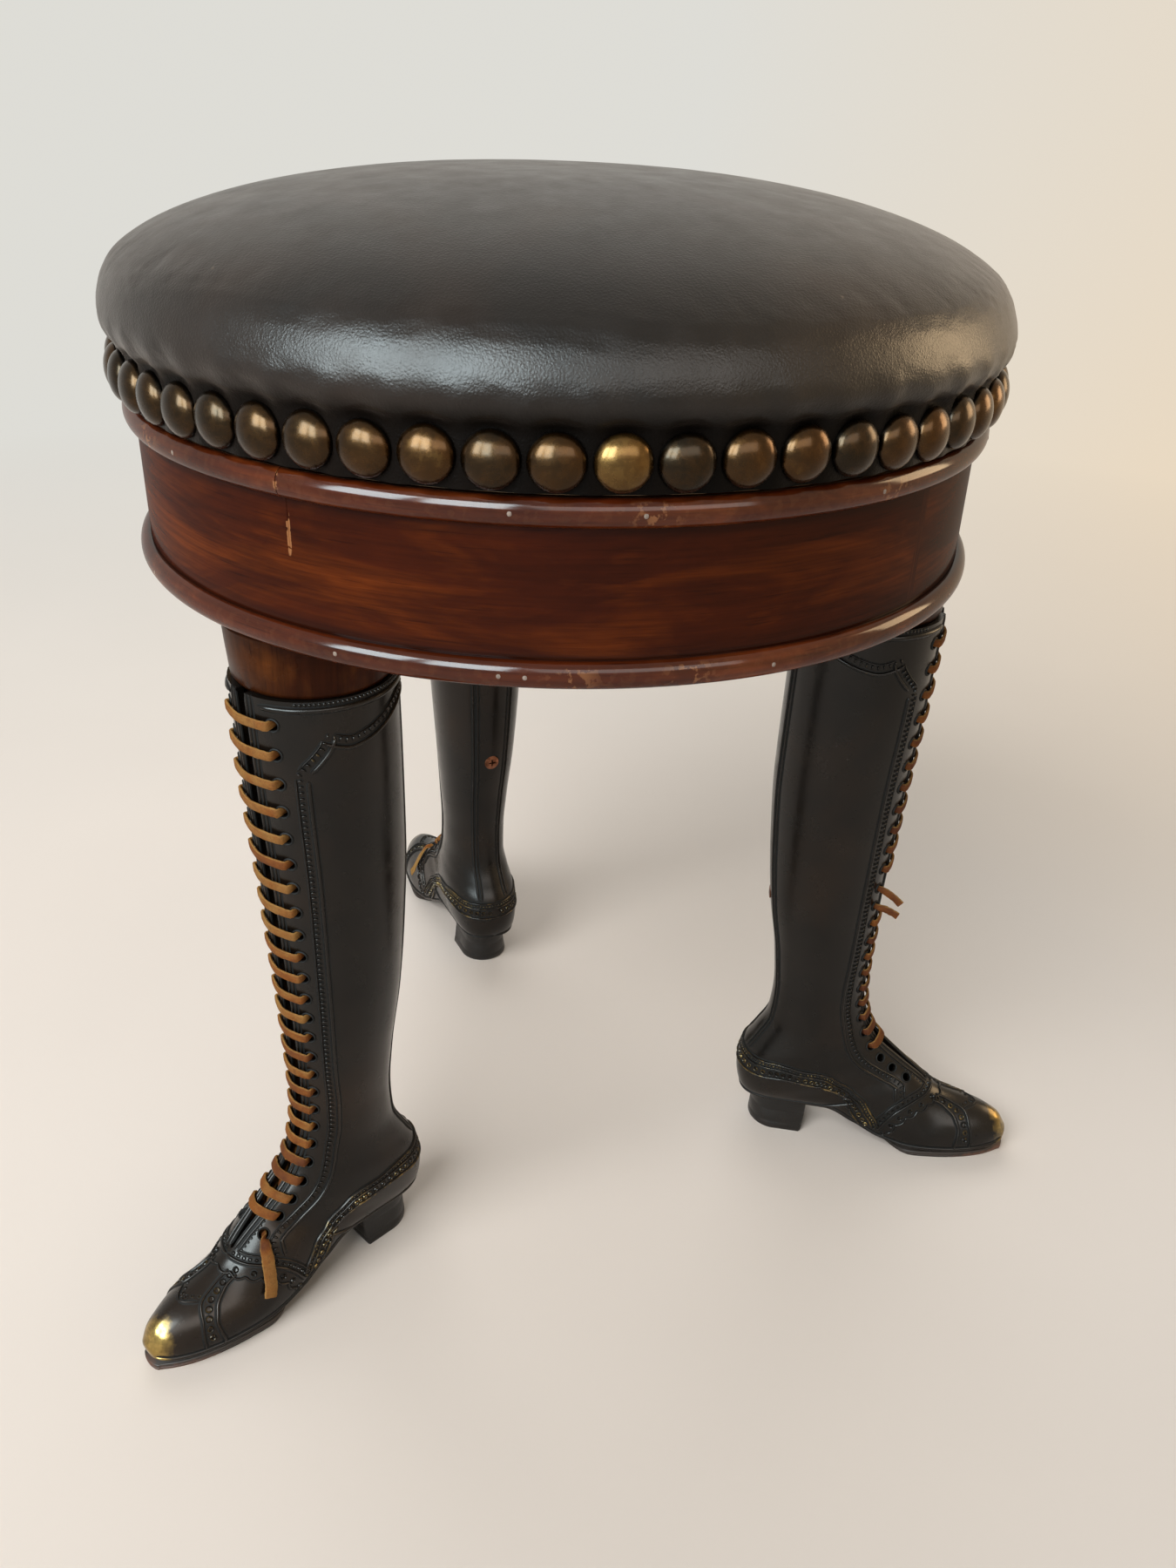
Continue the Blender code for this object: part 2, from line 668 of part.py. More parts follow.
def seat_profile(inset, angles):
    """Profile of the seat's crown from the middle to the board's edge, inset from the hide's outside."""
    wide = SEAT_BOARD_RADIUS + SEAT_SWELL + GAP + LEATHER - inset
    full_z = SEAT_TOP + SWELL_HEIGHT
    top_z = SEAT_TOP + CROWN_HEIGHT + 2 * GAP + LEATHER - inset
    edge = HIDE_RADIUS - inset
    points = []
    for angle in angles:
        turn = math.radians(angle)
        points.append((wide * math.sin(turn), full_z + (top_z - full_z) * math.cos(turn)))
    drop = full_z - SEAT_TOP
    points.append((edge + (wide - edge) * 0.72, full_z - drop * 0.62))
    points.append((edge, SEAT_TOP - inset))
    return points


def build_seat(axis):
    """Board, padding, hide and nails."""
    hide = material("dark_leather", (0.030, 0.018, 0.012), 0.42)
    fill = material("hair_padding", (0.45, 0.38, 0.28), 0.9)
    pine = material("seat_board_pine", (0.50, 0.34, 0.18), 0.7)
    brass = material("antique_brass", (0.30, 0.21, 0.09), 0.35, 1.0)
    skirt = HOOP_TOP + SKIRT_LIFT
    phase = 0.5
    board = turned(
        "board",
        ((0, SEAT_TOP), (SEAT_BOARD_RADIUS, SEAT_TOP), (SEAT_BOARD_RADIUS, SEAT_Z), (0, SEAT_Z)),
        NAIL_COUNT,
        phase=phase,
    )
    place("seat_board", carved(board, dowel_mesh(GAP)), pine, axis)
    fine, plain = (0, 24, 46, 66, 90), (0, 34, 62, 90)
    filling = seat_profile(LEATHER + GAP, plain)
    filling[-1] = (SEAT_BOARD_RADIUS - GAP, SEAT_TOP + GAP)
    filling.append((0.0, SEAT_TOP + GAP))
    place("seat_padding", turned("padding", filling, NAIL_COUNT, phase=phase), fill, axis)
    outside = seat_profile(0.0, fine)
    inside = seat_profile(LEATHER, plain)
    shell = outside + [(HIDE_RADIUS, skirt), (HIDE_RADIUS - LEATHER, skirt)] + inside[::-1]
    place("leather_cover", turned("cover", shell, NAIL_COUNT, phase=phase), hide, axis)
    place("nail_row", nail_mesh(), brass, axis)


def nail_mesh():
    """All the domed heads in one ring, each joined to the next by a small link behind the row."""
    step = 2 * math.pi / NAIL_COUNT
    flat = HIDE_RADIUS * math.cos(step / 2) + GAP
    z = SEAT_TOP - NAIL_DROP
    bm = bmesh.new()
    sides = 6
    edges = []
    for number in range(NAIL_COUNT):
        frame = Matrix.Rotation(number * step, 4, "Z") @ Matrix.Translation((flat, 0, z))
        loops = []
        for share, out in ((1.0, 0.0), (1.0, NAIL_LINK_THICK), (NAIL_CROWN, NAIL_DOME)):
            ring = []
            for i in range(sides):
                turn = 2 * math.pi * (i + 0.5) / sides
                across = share * NAIL_RADIUS * NAIL_CORNER
                spot = Vector((out, across * math.cos(turn), across * math.sin(turn)))
                ring.append(bm.verts.new(frame @ spot))
            loops.append(ring)
        back, rim, crown = loops
        for i in range(sides):
            j = (i + 1) % sides
            bm.faces.new((rim[i], rim[j], crown[j], crown[i]))
            if i not in (2, 5):
                bm.faces.new((back[i], back[j], rim[j], rim[i]))
        bm.faces.new(back[::-1])
        bm.faces.new(crown)
        edges.append(((back[2], back[3], rim[3], rim[2]), (back[0], back[5], rim[5], rim[0])))
    for number in range(NAIL_COUNT):
        near = edges[number][1]
        far = edges[(number + 1) % NAIL_COUNT][0]
        for i in range(4):
            j = (i + 1) % 4
            bm.faces.new((near[i], near[j], far[j], far[i]))
    return mesh_from(bm, "nails")


def dowel_mesh(clear=0.0):
    """Three dowels between the hoop's top and the seat board."""
    radius = HOOP_RADIUS - HOOP_WALL / 2
    frames = []
    for name, turn, toe in LEGS:
        spin = Matrix.Rotation(math.radians(turn + 60), 4, "Z")
        frames.append(spin @ Matrix.Translation((radius, 0, SEAT_Z - GAP / 2)))
    return prisms("dowels", frames, DOWEL_RADIUS + clear, 2 * (DOWEL_DEPTH + clear), DOWEL_SIDES)


def bead_profile(low):
    """Half-round moulding against the hoop, with a small quirk at each edge."""
    inside = HOOP_RADIUS + GAP
    points = [(inside, low + BEAD_HEIGHT)]
    for i in range(5):
        turn = math.radians(90 - 45 * i)
        out = 0.12 + 0.88 * math.cos(turn)
        points.append((inside + BEAD_REACH * out, low + BEAD_HEIGHT * (0.5 + 0.5 * math.sin(turn))))
    points.append((inside, low))
    return points


def build_drum(axis):
    """Hoop, beads, base board and dowels."""
    mahogany = material("mahogany_band", (0.16, 0.032, 0.010), 0.18)
    bead = material("mahogany_bead", (0.19, 0.045, 0.014), 0.22)
    pine = material("base_board_pine", (0.48, 0.33, 0.18), 0.7)
    beech = material("beech_dowel", (0.55, 0.40, 0.24), 0.65)
    inside = HOOP_RADIUS - HOOP_WALL
    hoop = turned(
        "hoop",
        ((HOOP_RADIUS, HOOP_TOP), (HOOP_RADIUS, DRUM_Z), (inside, DRUM_Z), (inside, HOOP_TOP)),
        DRUM_SIDES,
        closed=True,
    )
    place("apron_hoop", carved(hoop, dowel_mesh(GAP)), mahogany, axis)
    for name, low in (("top_bead", HOOP_TOP - BEAD_HEIGHT), ("bottom_bead", DRUM_Z)):
        place(name, turned(name, bead_profile(low), DRUM_SIDES, closed=True), bead, axis)
    rim = inside - GAP
    base_top = DRUM_Z + BASE_THICK
    base = turned("base", ((0, base_top), (rim, base_top), (rim, DRUM_Z), (0, DRUM_Z)), DRUM_SIDES)
    frames = []
    for name, turn, toe in LEGS:
        spin = Matrix.Rotation(math.radians(turn), 4, "Z")
        frames.append(spin @ Matrix.Translation((LEG_RADIUS, 0, DRUM_Z + BASE_THICK / 2)))
    holes = prisms("holes", frames, TENON_RADIUS + GAP, 2 * BASE_THICK, 16)
    place("base_board", carved(base, holes), pine, axis)
    for name, turn, toe in LEGS:
        frame = empty(f"dowel_frame_{name}", axis, (0, 0, SEAT_Z - GAP / 2), turn + 60)
        spot = Matrix.Translation((HOOP_RADIUS - HOOP_WALL / 2, 0, 0))
        peg = prisms("peg", [spot], DOWEL_RADIUS, 2 * DOWEL_DEPTH, DOWEL_SIDES)
        place(f"seat_dowel_{name}", peg, beech, frame)


def build_legs(axis):
    """Three alike legs: post, wedge, boot, screw, sole, heel and laces."""
    wood = material("mahogany_post", (0.20, 0.060, 0.018), 0.25)
    oak = material("oak_wedge", (0.42, 0.29, 0.16), 0.7)
    bronze = material("patinated_brass", (0.030, 0.026, 0.024), 0.38, 0.85)
    copper = material("copper_screw", (0.42, 0.17, 0.09), 0.35, 1.0)
    sole_hide = material("sole_leather", (0.17, 0.075, 0.040), 0.7)
    heel_hide = material("heel_leather", (0.035, 0.025, 0.020), 0.6)
    thong = material("tan_thong", (0.38, 0.17, 0.06), 0.6)
    eyelets = [eyelet_frame(pair, side) for pair in range(EYELET_PAIRS) for side in (1, -1)]
    holes = blocks("eyelet_holes", eyelets, (EYELET_SIZE, EYELET_SIZE, 3 * BOOT_WALL))
    cutter = turned("screw_hole", screw_profile(GAP), 8)
    cutter.transform(screw_frame())
    boot = carved(carved(boot_mesh(), holes), cutter)
    pilot = turned("screw_pilot", screw_profile(GAP), 8)
    pilot.transform(screw_frame())
    post = carved(carved(post_mesh(), pilot), wedge_mesh(GAP))
    screw = turned("screw", screw_profile(), 8)
    for turn in (0.0, 90.0):
        spin = Matrix.Rotation(math.radians(turn), 4, "Z")
        slot = blocks("slot", [spin], (1.3 * SCREW_HEAD_RADIUS, CROSS_SLOT, SCREW_HEAD_DEPTH))
        screw = carved(screw, slot)
    screw.transform(screw_frame())
    shared = {
        "leg_post": (post, wood),
        "tenon_wedge": (wedge_mesh(), oak),
        "boot": (boot, bronze),
        "boot_screw": (screw, copper),
        "half_sole": (sole_mesh(), sole_hide),
        "heel_block": (heel_mesh(), heel_hide),
    }
    laces = lace_meshes()
    for leg, turn, toe in LEGS:
        spin = Matrix.Rotation(math.radians(turn), 4, "Z")
        frame = empty(f"leg_{leg}", axis, (spin @ Vector((LEG_RADIUS, 0, 0)))[:], turn + toe)
        for name, (mesh, look) in shared.items():
            place(f"{name}_{leg}", mesh, look, frame)
        for name, mesh in laces[leg].items():
            place(name, mesh, thong, frame)


def centre(axis):
    """Move the stool so that the origin lies under the middle of its box."""
    bpy.context.view_layer.update()
    pieces = [item for item in bpy.data.objects if item.type == "MESH"]
    spots = [piece.matrix_world @ vertex.co for piece in pieces for vertex in piece.data.vertices]
    for i in (0, 1):
        values = [spot[i] for spot in spots]
        axis.location[i] -= (min(values) + max(values)) / 2


def main():
    for item in list(bpy.data.objects):
        bpy.data.objects.remove(item)
    axis = empty("stool_axis")
    build_drum(axis)
    build_seat(axis)
    build_legs(axis)
    centre(axis)


main()
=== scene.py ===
import math

import bmesh
import bpy
import numpy as np
from bpy.props import FloatProperty, FloatVectorProperty, PointerProperty
from mathutils import Matrix, Vector


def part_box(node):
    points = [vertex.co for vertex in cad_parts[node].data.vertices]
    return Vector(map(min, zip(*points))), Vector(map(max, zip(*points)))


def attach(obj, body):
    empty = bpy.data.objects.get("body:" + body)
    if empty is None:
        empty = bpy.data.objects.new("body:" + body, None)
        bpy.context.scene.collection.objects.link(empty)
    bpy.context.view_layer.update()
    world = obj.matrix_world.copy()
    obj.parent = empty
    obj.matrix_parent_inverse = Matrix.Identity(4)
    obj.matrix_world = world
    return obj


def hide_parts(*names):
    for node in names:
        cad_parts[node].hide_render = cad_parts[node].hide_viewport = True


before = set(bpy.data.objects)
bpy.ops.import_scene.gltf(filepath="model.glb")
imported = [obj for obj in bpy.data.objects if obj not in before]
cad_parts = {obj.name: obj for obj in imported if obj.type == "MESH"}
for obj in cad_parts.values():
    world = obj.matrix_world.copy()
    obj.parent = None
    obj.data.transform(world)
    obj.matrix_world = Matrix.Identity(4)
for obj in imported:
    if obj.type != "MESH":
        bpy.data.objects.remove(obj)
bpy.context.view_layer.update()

bl_info = {
    "name": "Tripod stool",
    "version": (1, 0, 0),
    "blender": (4, 5, 0),
    "location": "View3D > Sidebar > Stool",
    "description": "Dresses the packed tripod stool: seat, nails, drum, posts, boots, laces, soles, stage",
    "category": "Object",
}

MM = 0.001

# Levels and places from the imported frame
HOOP_LOW, HOOP_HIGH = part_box("apron_hoop")
AXIS = Vector(((HOOP_LOW.x + HOOP_HIGH.x) / 2, (HOOP_LOW.y + HOOP_HIGH.y) / 2, 0))
HOOP_RADIUS = (HOOP_HIGH.x - HOOP_LOW.x) / 2
SEAT_LOW, SEAT_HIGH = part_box("leather_cover")
BOARD_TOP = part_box("seat_board")[1].z
BOOT_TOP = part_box("boot_front")[1].z
NAIL_LEVEL = sum(corner.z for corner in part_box("nail_row")) / 2

# Legs: name and the boot's turn on its post in degrees
LEGS = (("front", -5.0), ("right", 0.0), ("left", 6.0))

# Boot sections from the rim to the toe in millimetres: front point, back or bottom point, half width,
# where along it the boot is widest, and how square its lower half is. Shaft rows give z as a share.
ANKLE = 86.0
SHAFT_ROWS = (
    (29.5, 1.00, -29.5, 28.5),
    (28.3, 0.82, -30.3, 27.2),
    (26.2, 0.61, -30.7, 25.0),
    (24.8, 0.42, -28.9, 22.8),
    (23.7, 0.25, -25.7, 20.6),
    (23.2, 0.10, -20.9, 18.2),
)
FOOT_ROWS = (
    (23.8, 86.0, -18.9, 82.0, 16.6, 0.50, 2.0),
    (26.0, 74.0, -20.0, 66.0, 16.4, 0.50, 2.0),
    (29.5, 65.0, -25.5, 53.0, 17.4, 0.52, 2.1),
    (34.0, 58.5, -30.5, 43.0, 18.8, 0.56, 2.2),
    (39.5, 53.5, -32.2, 32.0, 19.3, 0.60, 2.4),
    (45.0, 48.8, -29.5, 21.5, 18.4, 0.60, 2.8),
    (50.5, 44.0, -20.0, 18.0, 17.2, 0.55, 3.2),
    (56.0, 39.3, 5.0, 18.0, 17.0, 0.50, 3.2),
    (61.5, 34.4, 22.0, 12.2, 17.9, 0.52, 3.2),
    (67.5, 30.2, 38.0, 6.0, 18.9, 0.60, 3.6),
    (75.5, 27.2, 54.0, 3.6, 19.5, 0.70, 4.0),
    (84.5, 24.8, 70.0, 3.4, 17.9, 0.75, 4.4),
    (92.5, 22.2, 85.0, 3.4, 14.2, 0.75, 4.4),
    (98.8, 18.2, 94.5, 3.5, 9.8, 0.72, 4.0),
    (102.4, 12.6, 101.0, 5.0, 5.2, 0.60, 3.0),
)
# Rows where the slit starts to narrow, where it ends, how long its round end is, the bore's end and the toe
TAPER_ROW, SLIT_ROW, SLIT_ROUND, BORE_ROW, TOE_ROW = 10.0, 14.0, 0.12, 15.0, 20.0
RIM_RISE = 3.5 * MM  # how far the rolled rim stands above the plain casting
BOOT_WALL = 3.0 * MM
CLEAR = 0.3 * MM  # gap between pieces that fit together
SLIT_WIDTH, SLIT_TIP = 5.2 * MM, 1.4 * MM
VAMP_PEAK = 0.35  # how much sharper than round the instep is
EYELET_PAIRS = 25
EYELET_ANGLE = 27.0  # degrees round the section from the slit's middle
EYELET_SIDES = 18
CASTING_CREASE = 35.0


def unit(vectors):
    """Vectors of length one."""
    return vectors / np.maximum(np.linalg.norm(vectors, axis=-1, keepdims=True), 1e-12)


def eased(value, low, high):
    """Smooth step from 0 at low to 1 at high."""
    share = np.clip((np.asarray(value, float) - low) / (high - low), 0.0, 1.0)
    return share * share * (3 - 2 * share)


def distances(points):
    """How far along a line each of its points lies."""
    return np.concatenate([[0], np.cumsum(np.linalg.norm(np.diff(points, axis=0), axis=1))])


def points_of(mesh):
    """A mesh's points, one row each."""
    points = np.empty(len(mesh.vertices) * 3)
    mesh.vertices.foreach_get("co", points)
    return points.reshape(-1, 3)


def mark(mesh, name, values):
    """Give each point of a mesh a named number or vector for its finish."""
    kind, field = ("FLOAT_VECTOR", "vector") if np.ndim(values) == 2 else ("FLOAT", "value")
    mesh.attributes.new(name, kind, "POINT").data.foreach_set(field, np.ravel(values))


def softened(mesh, crease):
    """The mesh, smooth up to the crease angle in degrees."""
    mesh.shade_smooth()
    mesh.set_sharp_from_angle(angle=math.radians(crease))
    return mesh


class Heap:
    """Points, faces and named point values of a mesh that is being put together."""

    def __init__(self):
        self.points, self.faces, self.values, self.count = [], [], {}, 0

    def add(self, points, faces, **values):
        points = np.asarray(points, float).reshape(-1, 3)
        self.points.append(points)
        self.faces += [tuple(i + self.count for i in face) for face in faces]
        for name, value in values.items():
            value = np.asarray(value, float)
            whole = np.broadcast_to(value, (len(points), *value.shape[1:]))
            self.values.setdefault(name, []).append(whole)
        self.count += len(points)

    def mesh(self, name, crease=40.0):
        """A mesh with its faces out, smooth up to the crease angle."""
        mesh = bpy.data.meshes.new(name)
        mesh.from_pydata(np.concatenate(self.points).tolist(), [], self.faces)
        for value_name, parts in self.values.items():
            mark(mesh, value_name, np.concatenate(parts))
        bm = bmesh.new()
        bm.from_mesh(mesh)
        bmesh.ops.recalc_face_normals(bm, faces=bm.faces)
        bm.to_mesh(mesh)
        bm.free()
        return softened(mesh, crease)


def tube_faces(count, around, loop=False):
    """Quads of a tube of rings, with flat ends unless it closes on itself."""
    faces = []
    for i in range(count if loop else count - 1):
        near, far = i * around, (i + 1) % count * around
        for j in range(around):
            k = (j + 1) % around
            faces.append((near + j, near + k, far + k, far + j))
    if not loop:
        faces.append(tuple(range(around))[::-1])
        faces.append(tuple((count - 1) * around + j for j in range(around)))
    return faces


def place(name, mesh, look, matrix=None, stands_for=()):
    """Put a mesh into the scene as a piece that rides with the stool."""
    if matrix is not None:
        mesh = mesh.copy()
        mesh.transform(matrix)
    piece = bpy.data.objects.new(name, mesh)
    bpy.context.scene.collection.objects.link(piece)
    mesh.materials.clear()
    mesh.materials.append(look)
    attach(piece, "root")
    if stands_for:
        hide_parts(*stands_for)
    return piece


def cut_away(mesh, cutter, operation="DIFFERENCE"):
    """The mesh after an exact Boolean with another mesh."""
    body = bpy.data.objects.new("body", mesh)
    tool = bpy.data.objects.new("tool", cutter)
    for item in (body, tool):
        bpy.context.scene.collection.objects.link(item)
    cut = body.modifiers.new("cut", "BOOLEAN")
    cut.operation, cut.object, cut.solver = operation, tool, "EXACT"
    result = bpy.data.meshes.new_from_object(body.evaluated_get(bpy.context.evaluated_depsgraph_get()))
    for item in (body, tool):
        bpy.data.objects.remove(item)
    return result


def leg_matrix(leg):
    """Frame of one leg: origin at the post's middle on the floor, x outwards."""
    low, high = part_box(f"tenon_wedge_{leg}")
    middle = Vector(((low.x + high.x) / 2, (low.y + high.y) / 2, 0))
    turn = math.atan2(middle.y - AXIS.y, middle.x - AXIS.x) + math.radians(dict(LEGS)[leg])
    return Matrix.Translation(middle) @ Matrix.Rotation(turn, 4, "Z")


# Turned pieces


def spun(profile, turns):
    """Points of a profile of (radius, z) spun through turns, and the wood's grain round it."""
    radius, z = np.asarray(profile, float).T
    turns = np.asarray(turns, float)
    high = np.broadcast_to(z, (len(turns), len(z)))
    points = np.stack([np.outer(np.cos(turns), radius), np.outer(np.sin(turns), radius), high], -1)
    along = np.outer(turns * radius.max(), np.ones(len(z)))
    return points, np.stack([along, high, np.broadcast_to(radius, high.shape)], -1)


def full_turn(sides):
    """Even angles of a full turn."""
    return 2 * math.pi * np.arange(sides) / sides


def moved(points, matrix):
    """Points after a move."""
    return points @ np.array(matrix.to_3x3()).T + np.array(matrix.translation)


def turned(heap, profile, sides, matrix=None, **values):
    """Spin an open profile of (radius, z) that starts and ends on the axis, closed with fans."""
    profile = np.asarray(profile, float)
    rings = profile[1:-1]
    points = spun(rings, full_turn(sides))[0].transpose(1, 0, 2).reshape(-1, 3)
    points = np.vstack([points, [(0, 0, profile[0, 1]), (0, 0, profile[-1, 1])]])
    faces = tube_faces(len(rings), sides)[:-2]
    first, last = len(points) - 2, len(points) - 1
    for j in range(sides):
        k = (j + 1) % sides
        base = (len(rings) - 1) * sides
        faces += [(first, k, j), (last, base + j, base + k)]
    heap.add(points if matrix is None else moved(points, matrix), faces, **values)


def facing_out(turn, reach, z, aside=0.0):
    """Frame on the drum's side at a turn round it: z outwards, x down."""
    to_side = Matrix(((0, 0, 1, 0), (0, 1, 0, 0), (-1, 0, 0, 0), (0, 0, 0, 1)))
    out = Matrix.Translation((reach, aside, z))
    return Matrix.Translation(AXIS) @ Matrix.Rotation(turn, 4, "Z") @ out @ to_side


# Finishes


class Wiring:
    """Short ways to wire the nodes of a material or of the room."""

    def __init__(self, tree):
        self.tree = tree

    def node(self, kind, **sockets):
        node = self.tree.nodes.new("ShaderNode" + kind)
        for socket, value in sockets.items():
            self.feed(node.inputs[socket.replace("_", " ")], value)
        return node

    def feed(self, socket, value):
        if isinstance(value, bpy.types.NodeSocket):
            self.tree.links.new(value, socket)
        else:
            socket.default_value = value

    def span(self, value, low, high, to_low=0.0, to_high=1.0):
        ends = {"From_Min": low, "From_Max": high, "To_Min": to_low, "To_Max": to_high}
        return self.node("MapRange", Value=value, **ends).outputs["Result"]

    def maths(self, kind, a, b):
        node = self.node("Math")
        node.operation = kind
        self.feed(node.inputs[0], a)
        self.feed(node.inputs[1], b)
        return node.outputs["Value"]

    def vector(self, kind, a, b=None):
        """Outputs of a step of vector maths, the second vector fixed."""
        node = self.node("VectorMath", Vector=a)
        node.operation = kind
        if b is not None:
            node.inputs[1].default_value = b
        return node.outputs

    def mix(self, share, a, b):
        node = self.node("Mix")
        node.data_type = "RGBA"
        self.feed(node.inputs[0], share)
        for socket, value in ((node.inputs[6], a), (node.inputs[7], b)):
            self.feed(socket, value if isinstance(value, bpy.types.NodeSocket) else (*value[:3], 1.0))
        return node.outputs[2]

    def seen(self):
        """1 for the rays that show what they meet: those of the camera, of mirrors and of glass."""
        path = self.node("LightPath").outputs
        shown = path["Is Camera Ray"]
        for kind in ("Is Glossy Ray", "Is Transmission Ray"):
            shown = self.maths("MAXIMUM", shown, path[kind])
        return shown


class Finish(Wiring):
    """A material, and the wiring that only a material has."""

    def __init__(self, name, roughness, metallic=0.0, **sockets):
        self.look = bpy.data.materials.new(name)
        self.look.use_nodes = True
        super().__init__(self.look.node_tree)
        self.shader = self.tree.nodes["Principled BSDF"]
        for socket, value in (("Roughness", roughness), ("Metallic", metallic), *sockets.items()):
            self.shader.inputs[socket.replace("_", " ")].default_value = value

    def to(self, socket, value):
        self.feed(self.shader.inputs[socket], value)

    def stretched(self, spot, stretch):
        return self.node("Mapping", Vector=spot, Scale=stretch).outputs["Vector"]

    def place(self, stretch=(1, 1, 1)):
        """Object coordinates in metres, stretched."""
        return self.stretched(self.node("TexCoord").outputs["Object"], stretch)

    def value(self, name, output="Fac"):
        """A value that the mesh's points carry."""
        node = self.node("Attribute")
        node.attribute_name = name
        return node.outputs[output]

    def grain(self, stretch):
        """Coordinates along, across and into the wood, stretched."""
        return self.stretched(self.value("grain", "Vector"), stretch)

    def noise(self, spot, scale, detail=3.0, rough=0.55, bend=0.0):
        sockets = {"Scale": scale, "Detail": detail, "Roughness": rough, "Distortion": bend}
        return self.node("TexNoise", Vector=spot, **sockets).outputs["Fac"]

    def cells(self, spot, scale):
        return self.node("TexVoronoi", Vector=spot, Scale=scale).outputs["Distance"]

    def bump(self, height, distance, strength=1.0, over=None):
        node = self.node("Bump", Height=height, Distance=distance, Strength=strength)
        if over is not None:
            self.feed(node.inputs["Normal"], over)
        return node.outputs["Normal"]


def tint(colour, gain):
    """A colour made lighter or darker."""
    return tuple(min(part * gain, 1.0) for part in colour[:3])


def leather_finish(settings):
    """Dark upholstery hide: pebbled grain, brown clouds, soft sheen, creases and pale scuffs, with painted
    shade on its low part.
    """
    sheen = {"Sheen_Weight": 0.14, "Sheen_Roughness": 0.4, "Sheen_Tint": (1.0, 0.86, 0.76, 1.0)}
    make = Finish("dark_leather_hide", 0.34, **sheen)
    spot = make.place()
    cloud = make.noise(spot, 26.0, 5.0, 0.62)
    warm = make.mix(make.span(cloud, 0.38, 0.68), tint(settings.hide, 0.55), settings.hide)
    warm = make.mix(make.span(make.noise(spot, 9.0, 3.0), 0.48, 0.72, 0.0, 0.7), warm, settings.brown)
    pebble = make.cells(make.place(), 1150.0)
    pores = make.noise(spot, 2300.0, 2.0)
    crease = make.noise(make.place((1.0, 2.2, 1.0)), 34.0, 6.0, 0.62, 1.4)
    line = make.span(make.maths("ABSOLUTE", make.maths("SUBTRACT", crease, 0.5), 0.0), 0.0, 0.010, 1.0, 0.0)
    few = make.span(make.noise(spot, 12.0, 2.0), 0.56, 0.66)
    scratch = make.maths("MULTIPLY", line, few)
    fleck = make.span(make.noise(spot, 210.0, 2.0), 0.735, 0.77)
    scuff = make.maths("MULTIPLY", fleck, make.span(make.noise(spot, 30.0, 2.0), 0.54, 0.66))
    colour = make.mix(make.maths("MULTIPLY", scuff, 0.4), warm, settings.scuff)
    colour = make.mix(make.maths("MULTIPLY", scratch, 0.3), colour, settings.brown)
    # Painted shade: the skirt round the nails and the underside are darkened towards black and reflect less.
    shade = make.value("shade")
    make.to("Base Color", make.mix(make.span(shade, 0.0, 1.0, 0.0, 0.8), colour, (0.0015, 0.0013, 0.0012)))
    make.to("Specular IOR Level", make.span(shade, 0.0, 1.0, 0.32, 0.04))
    make.to("Roughness", make.span(make.noise(spot, 70.0, 5.0, 0.65), 0.3, 0.72, 0.28, 0.40))
    fine = make.bump(pores, 0.00012, 0.5)
    cell = make.bump(make.span(pebble, 0.1, 0.7, 1.0, 0.0), 0.00010, 0.4, fine)
    make.to("Normal", make.bump(scratch, 0.0002, -0.5, cell))
    return make.look


def nail_finish(settings):
    """Old brass nail heads: brown bronze patina, rubbed bright on some crowns, and painted shade in black at
    the rim.
    """
    make = Finish("antique_brass_nail", 0.3, 0.9, Coat_Weight=0.12, Coat_Roughness=0.15)
    spot = make.place()
    tone = make.value("tone")
    stain = make.noise(spot, 210.0, 5.0, 0.65)
    lift = make.maths("ADD", tone, make.span(stain, 0.3, 0.7, -0.2, 0.2))
    colour = make.mix(make.span(lift, 0.0, 0.6), settings.dark, settings.bronze)
    colour = make.mix(make.span(lift, 0.6, 1.0), colour, settings.gold)
    # Painted shade: the edge mark blackens the rim of each head where it meets the leather.
    colour = make.mix(make.value("edge"), colour, tint(settings.dark, 0.25))
    make.to("Base Color", colour)
    make.to("Roughness", make.span(make.noise(spot, 420.0, 4.0), 0.3, 0.7, 0.20, 0.32))
    make.to("Normal", make.bump(make.noise(spot, 600.0, 4.0), 0.00012, 0.3))
    return make.look


def mahogany_finish(name, colour, glow, figure, shine, polish):
    """Old polished mahogany: cloudy figure, dark pores, painted shade in the corners and pale chips."""
    make = Finish(name, 0.3, Specular_IOR_Level=shine, Coat_Weight=polish, Coat_Roughness=0.12)
    broad = make.noise(make.grain((5.0 * figure, 16.0, 8.0)), 2.0, 5.0, 0.62, 0.9)
    fine = make.noise(make.grain((9.0, 240.0, 120.0)), 2.0, 4.0, 0.65)
    pores = make.noise(make.grain((45.0, 1300.0, 900.0)), 1.0, 2.0)
    body = make.mix(make.span(broad, 0.36, 0.66), tint(colour, 0.55), colour)
    light = make.span(make.noise(make.grain((7.0 * figure, 30.0, 14.0)), 1.7, 4.0, 0.6, 0.6), 0.5, 0.74)
    body = make.mix(make.maths("MULTIPLY", light, 0.75), body, glow)
    body = make.mix(make.span(fine, 0.36, 0.68, 0.0, 0.65), body, tint(colour, 0.35))
    body = make.mix(make.span(pores, 0.6, 0.72, 0.0, 0.5), body, tint(colour, 0.15))
    # Painted shade: the wood is darkened towards black where it meets other parts.
    body = make.mix(make.value("grime"), body, (0.008, 0.004, 0.003))
    flakes = make.span(make.noise(make.place(), 330.0, 3.0), 0.52, 0.58)
    chip = make.maths("MULTIPLY", make.value("chip"), flakes)
    make.to("Base Color", make.mix(chip, body, (0.34, 0.15, 0.06)))
    make.to("Roughness", make.span(make.noise(make.place(), 45.0, 4.0), 0.3, 0.7, 0.24, 0.42))
    waves = make.bump(make.noise(make.grain((10.0, 40.0, 10.0)), 2.0, 3.0), 0.0006, 0.25)
    make.to("Normal", make.bump(pores, 0.00008, 0.3, waves))
    return make.look


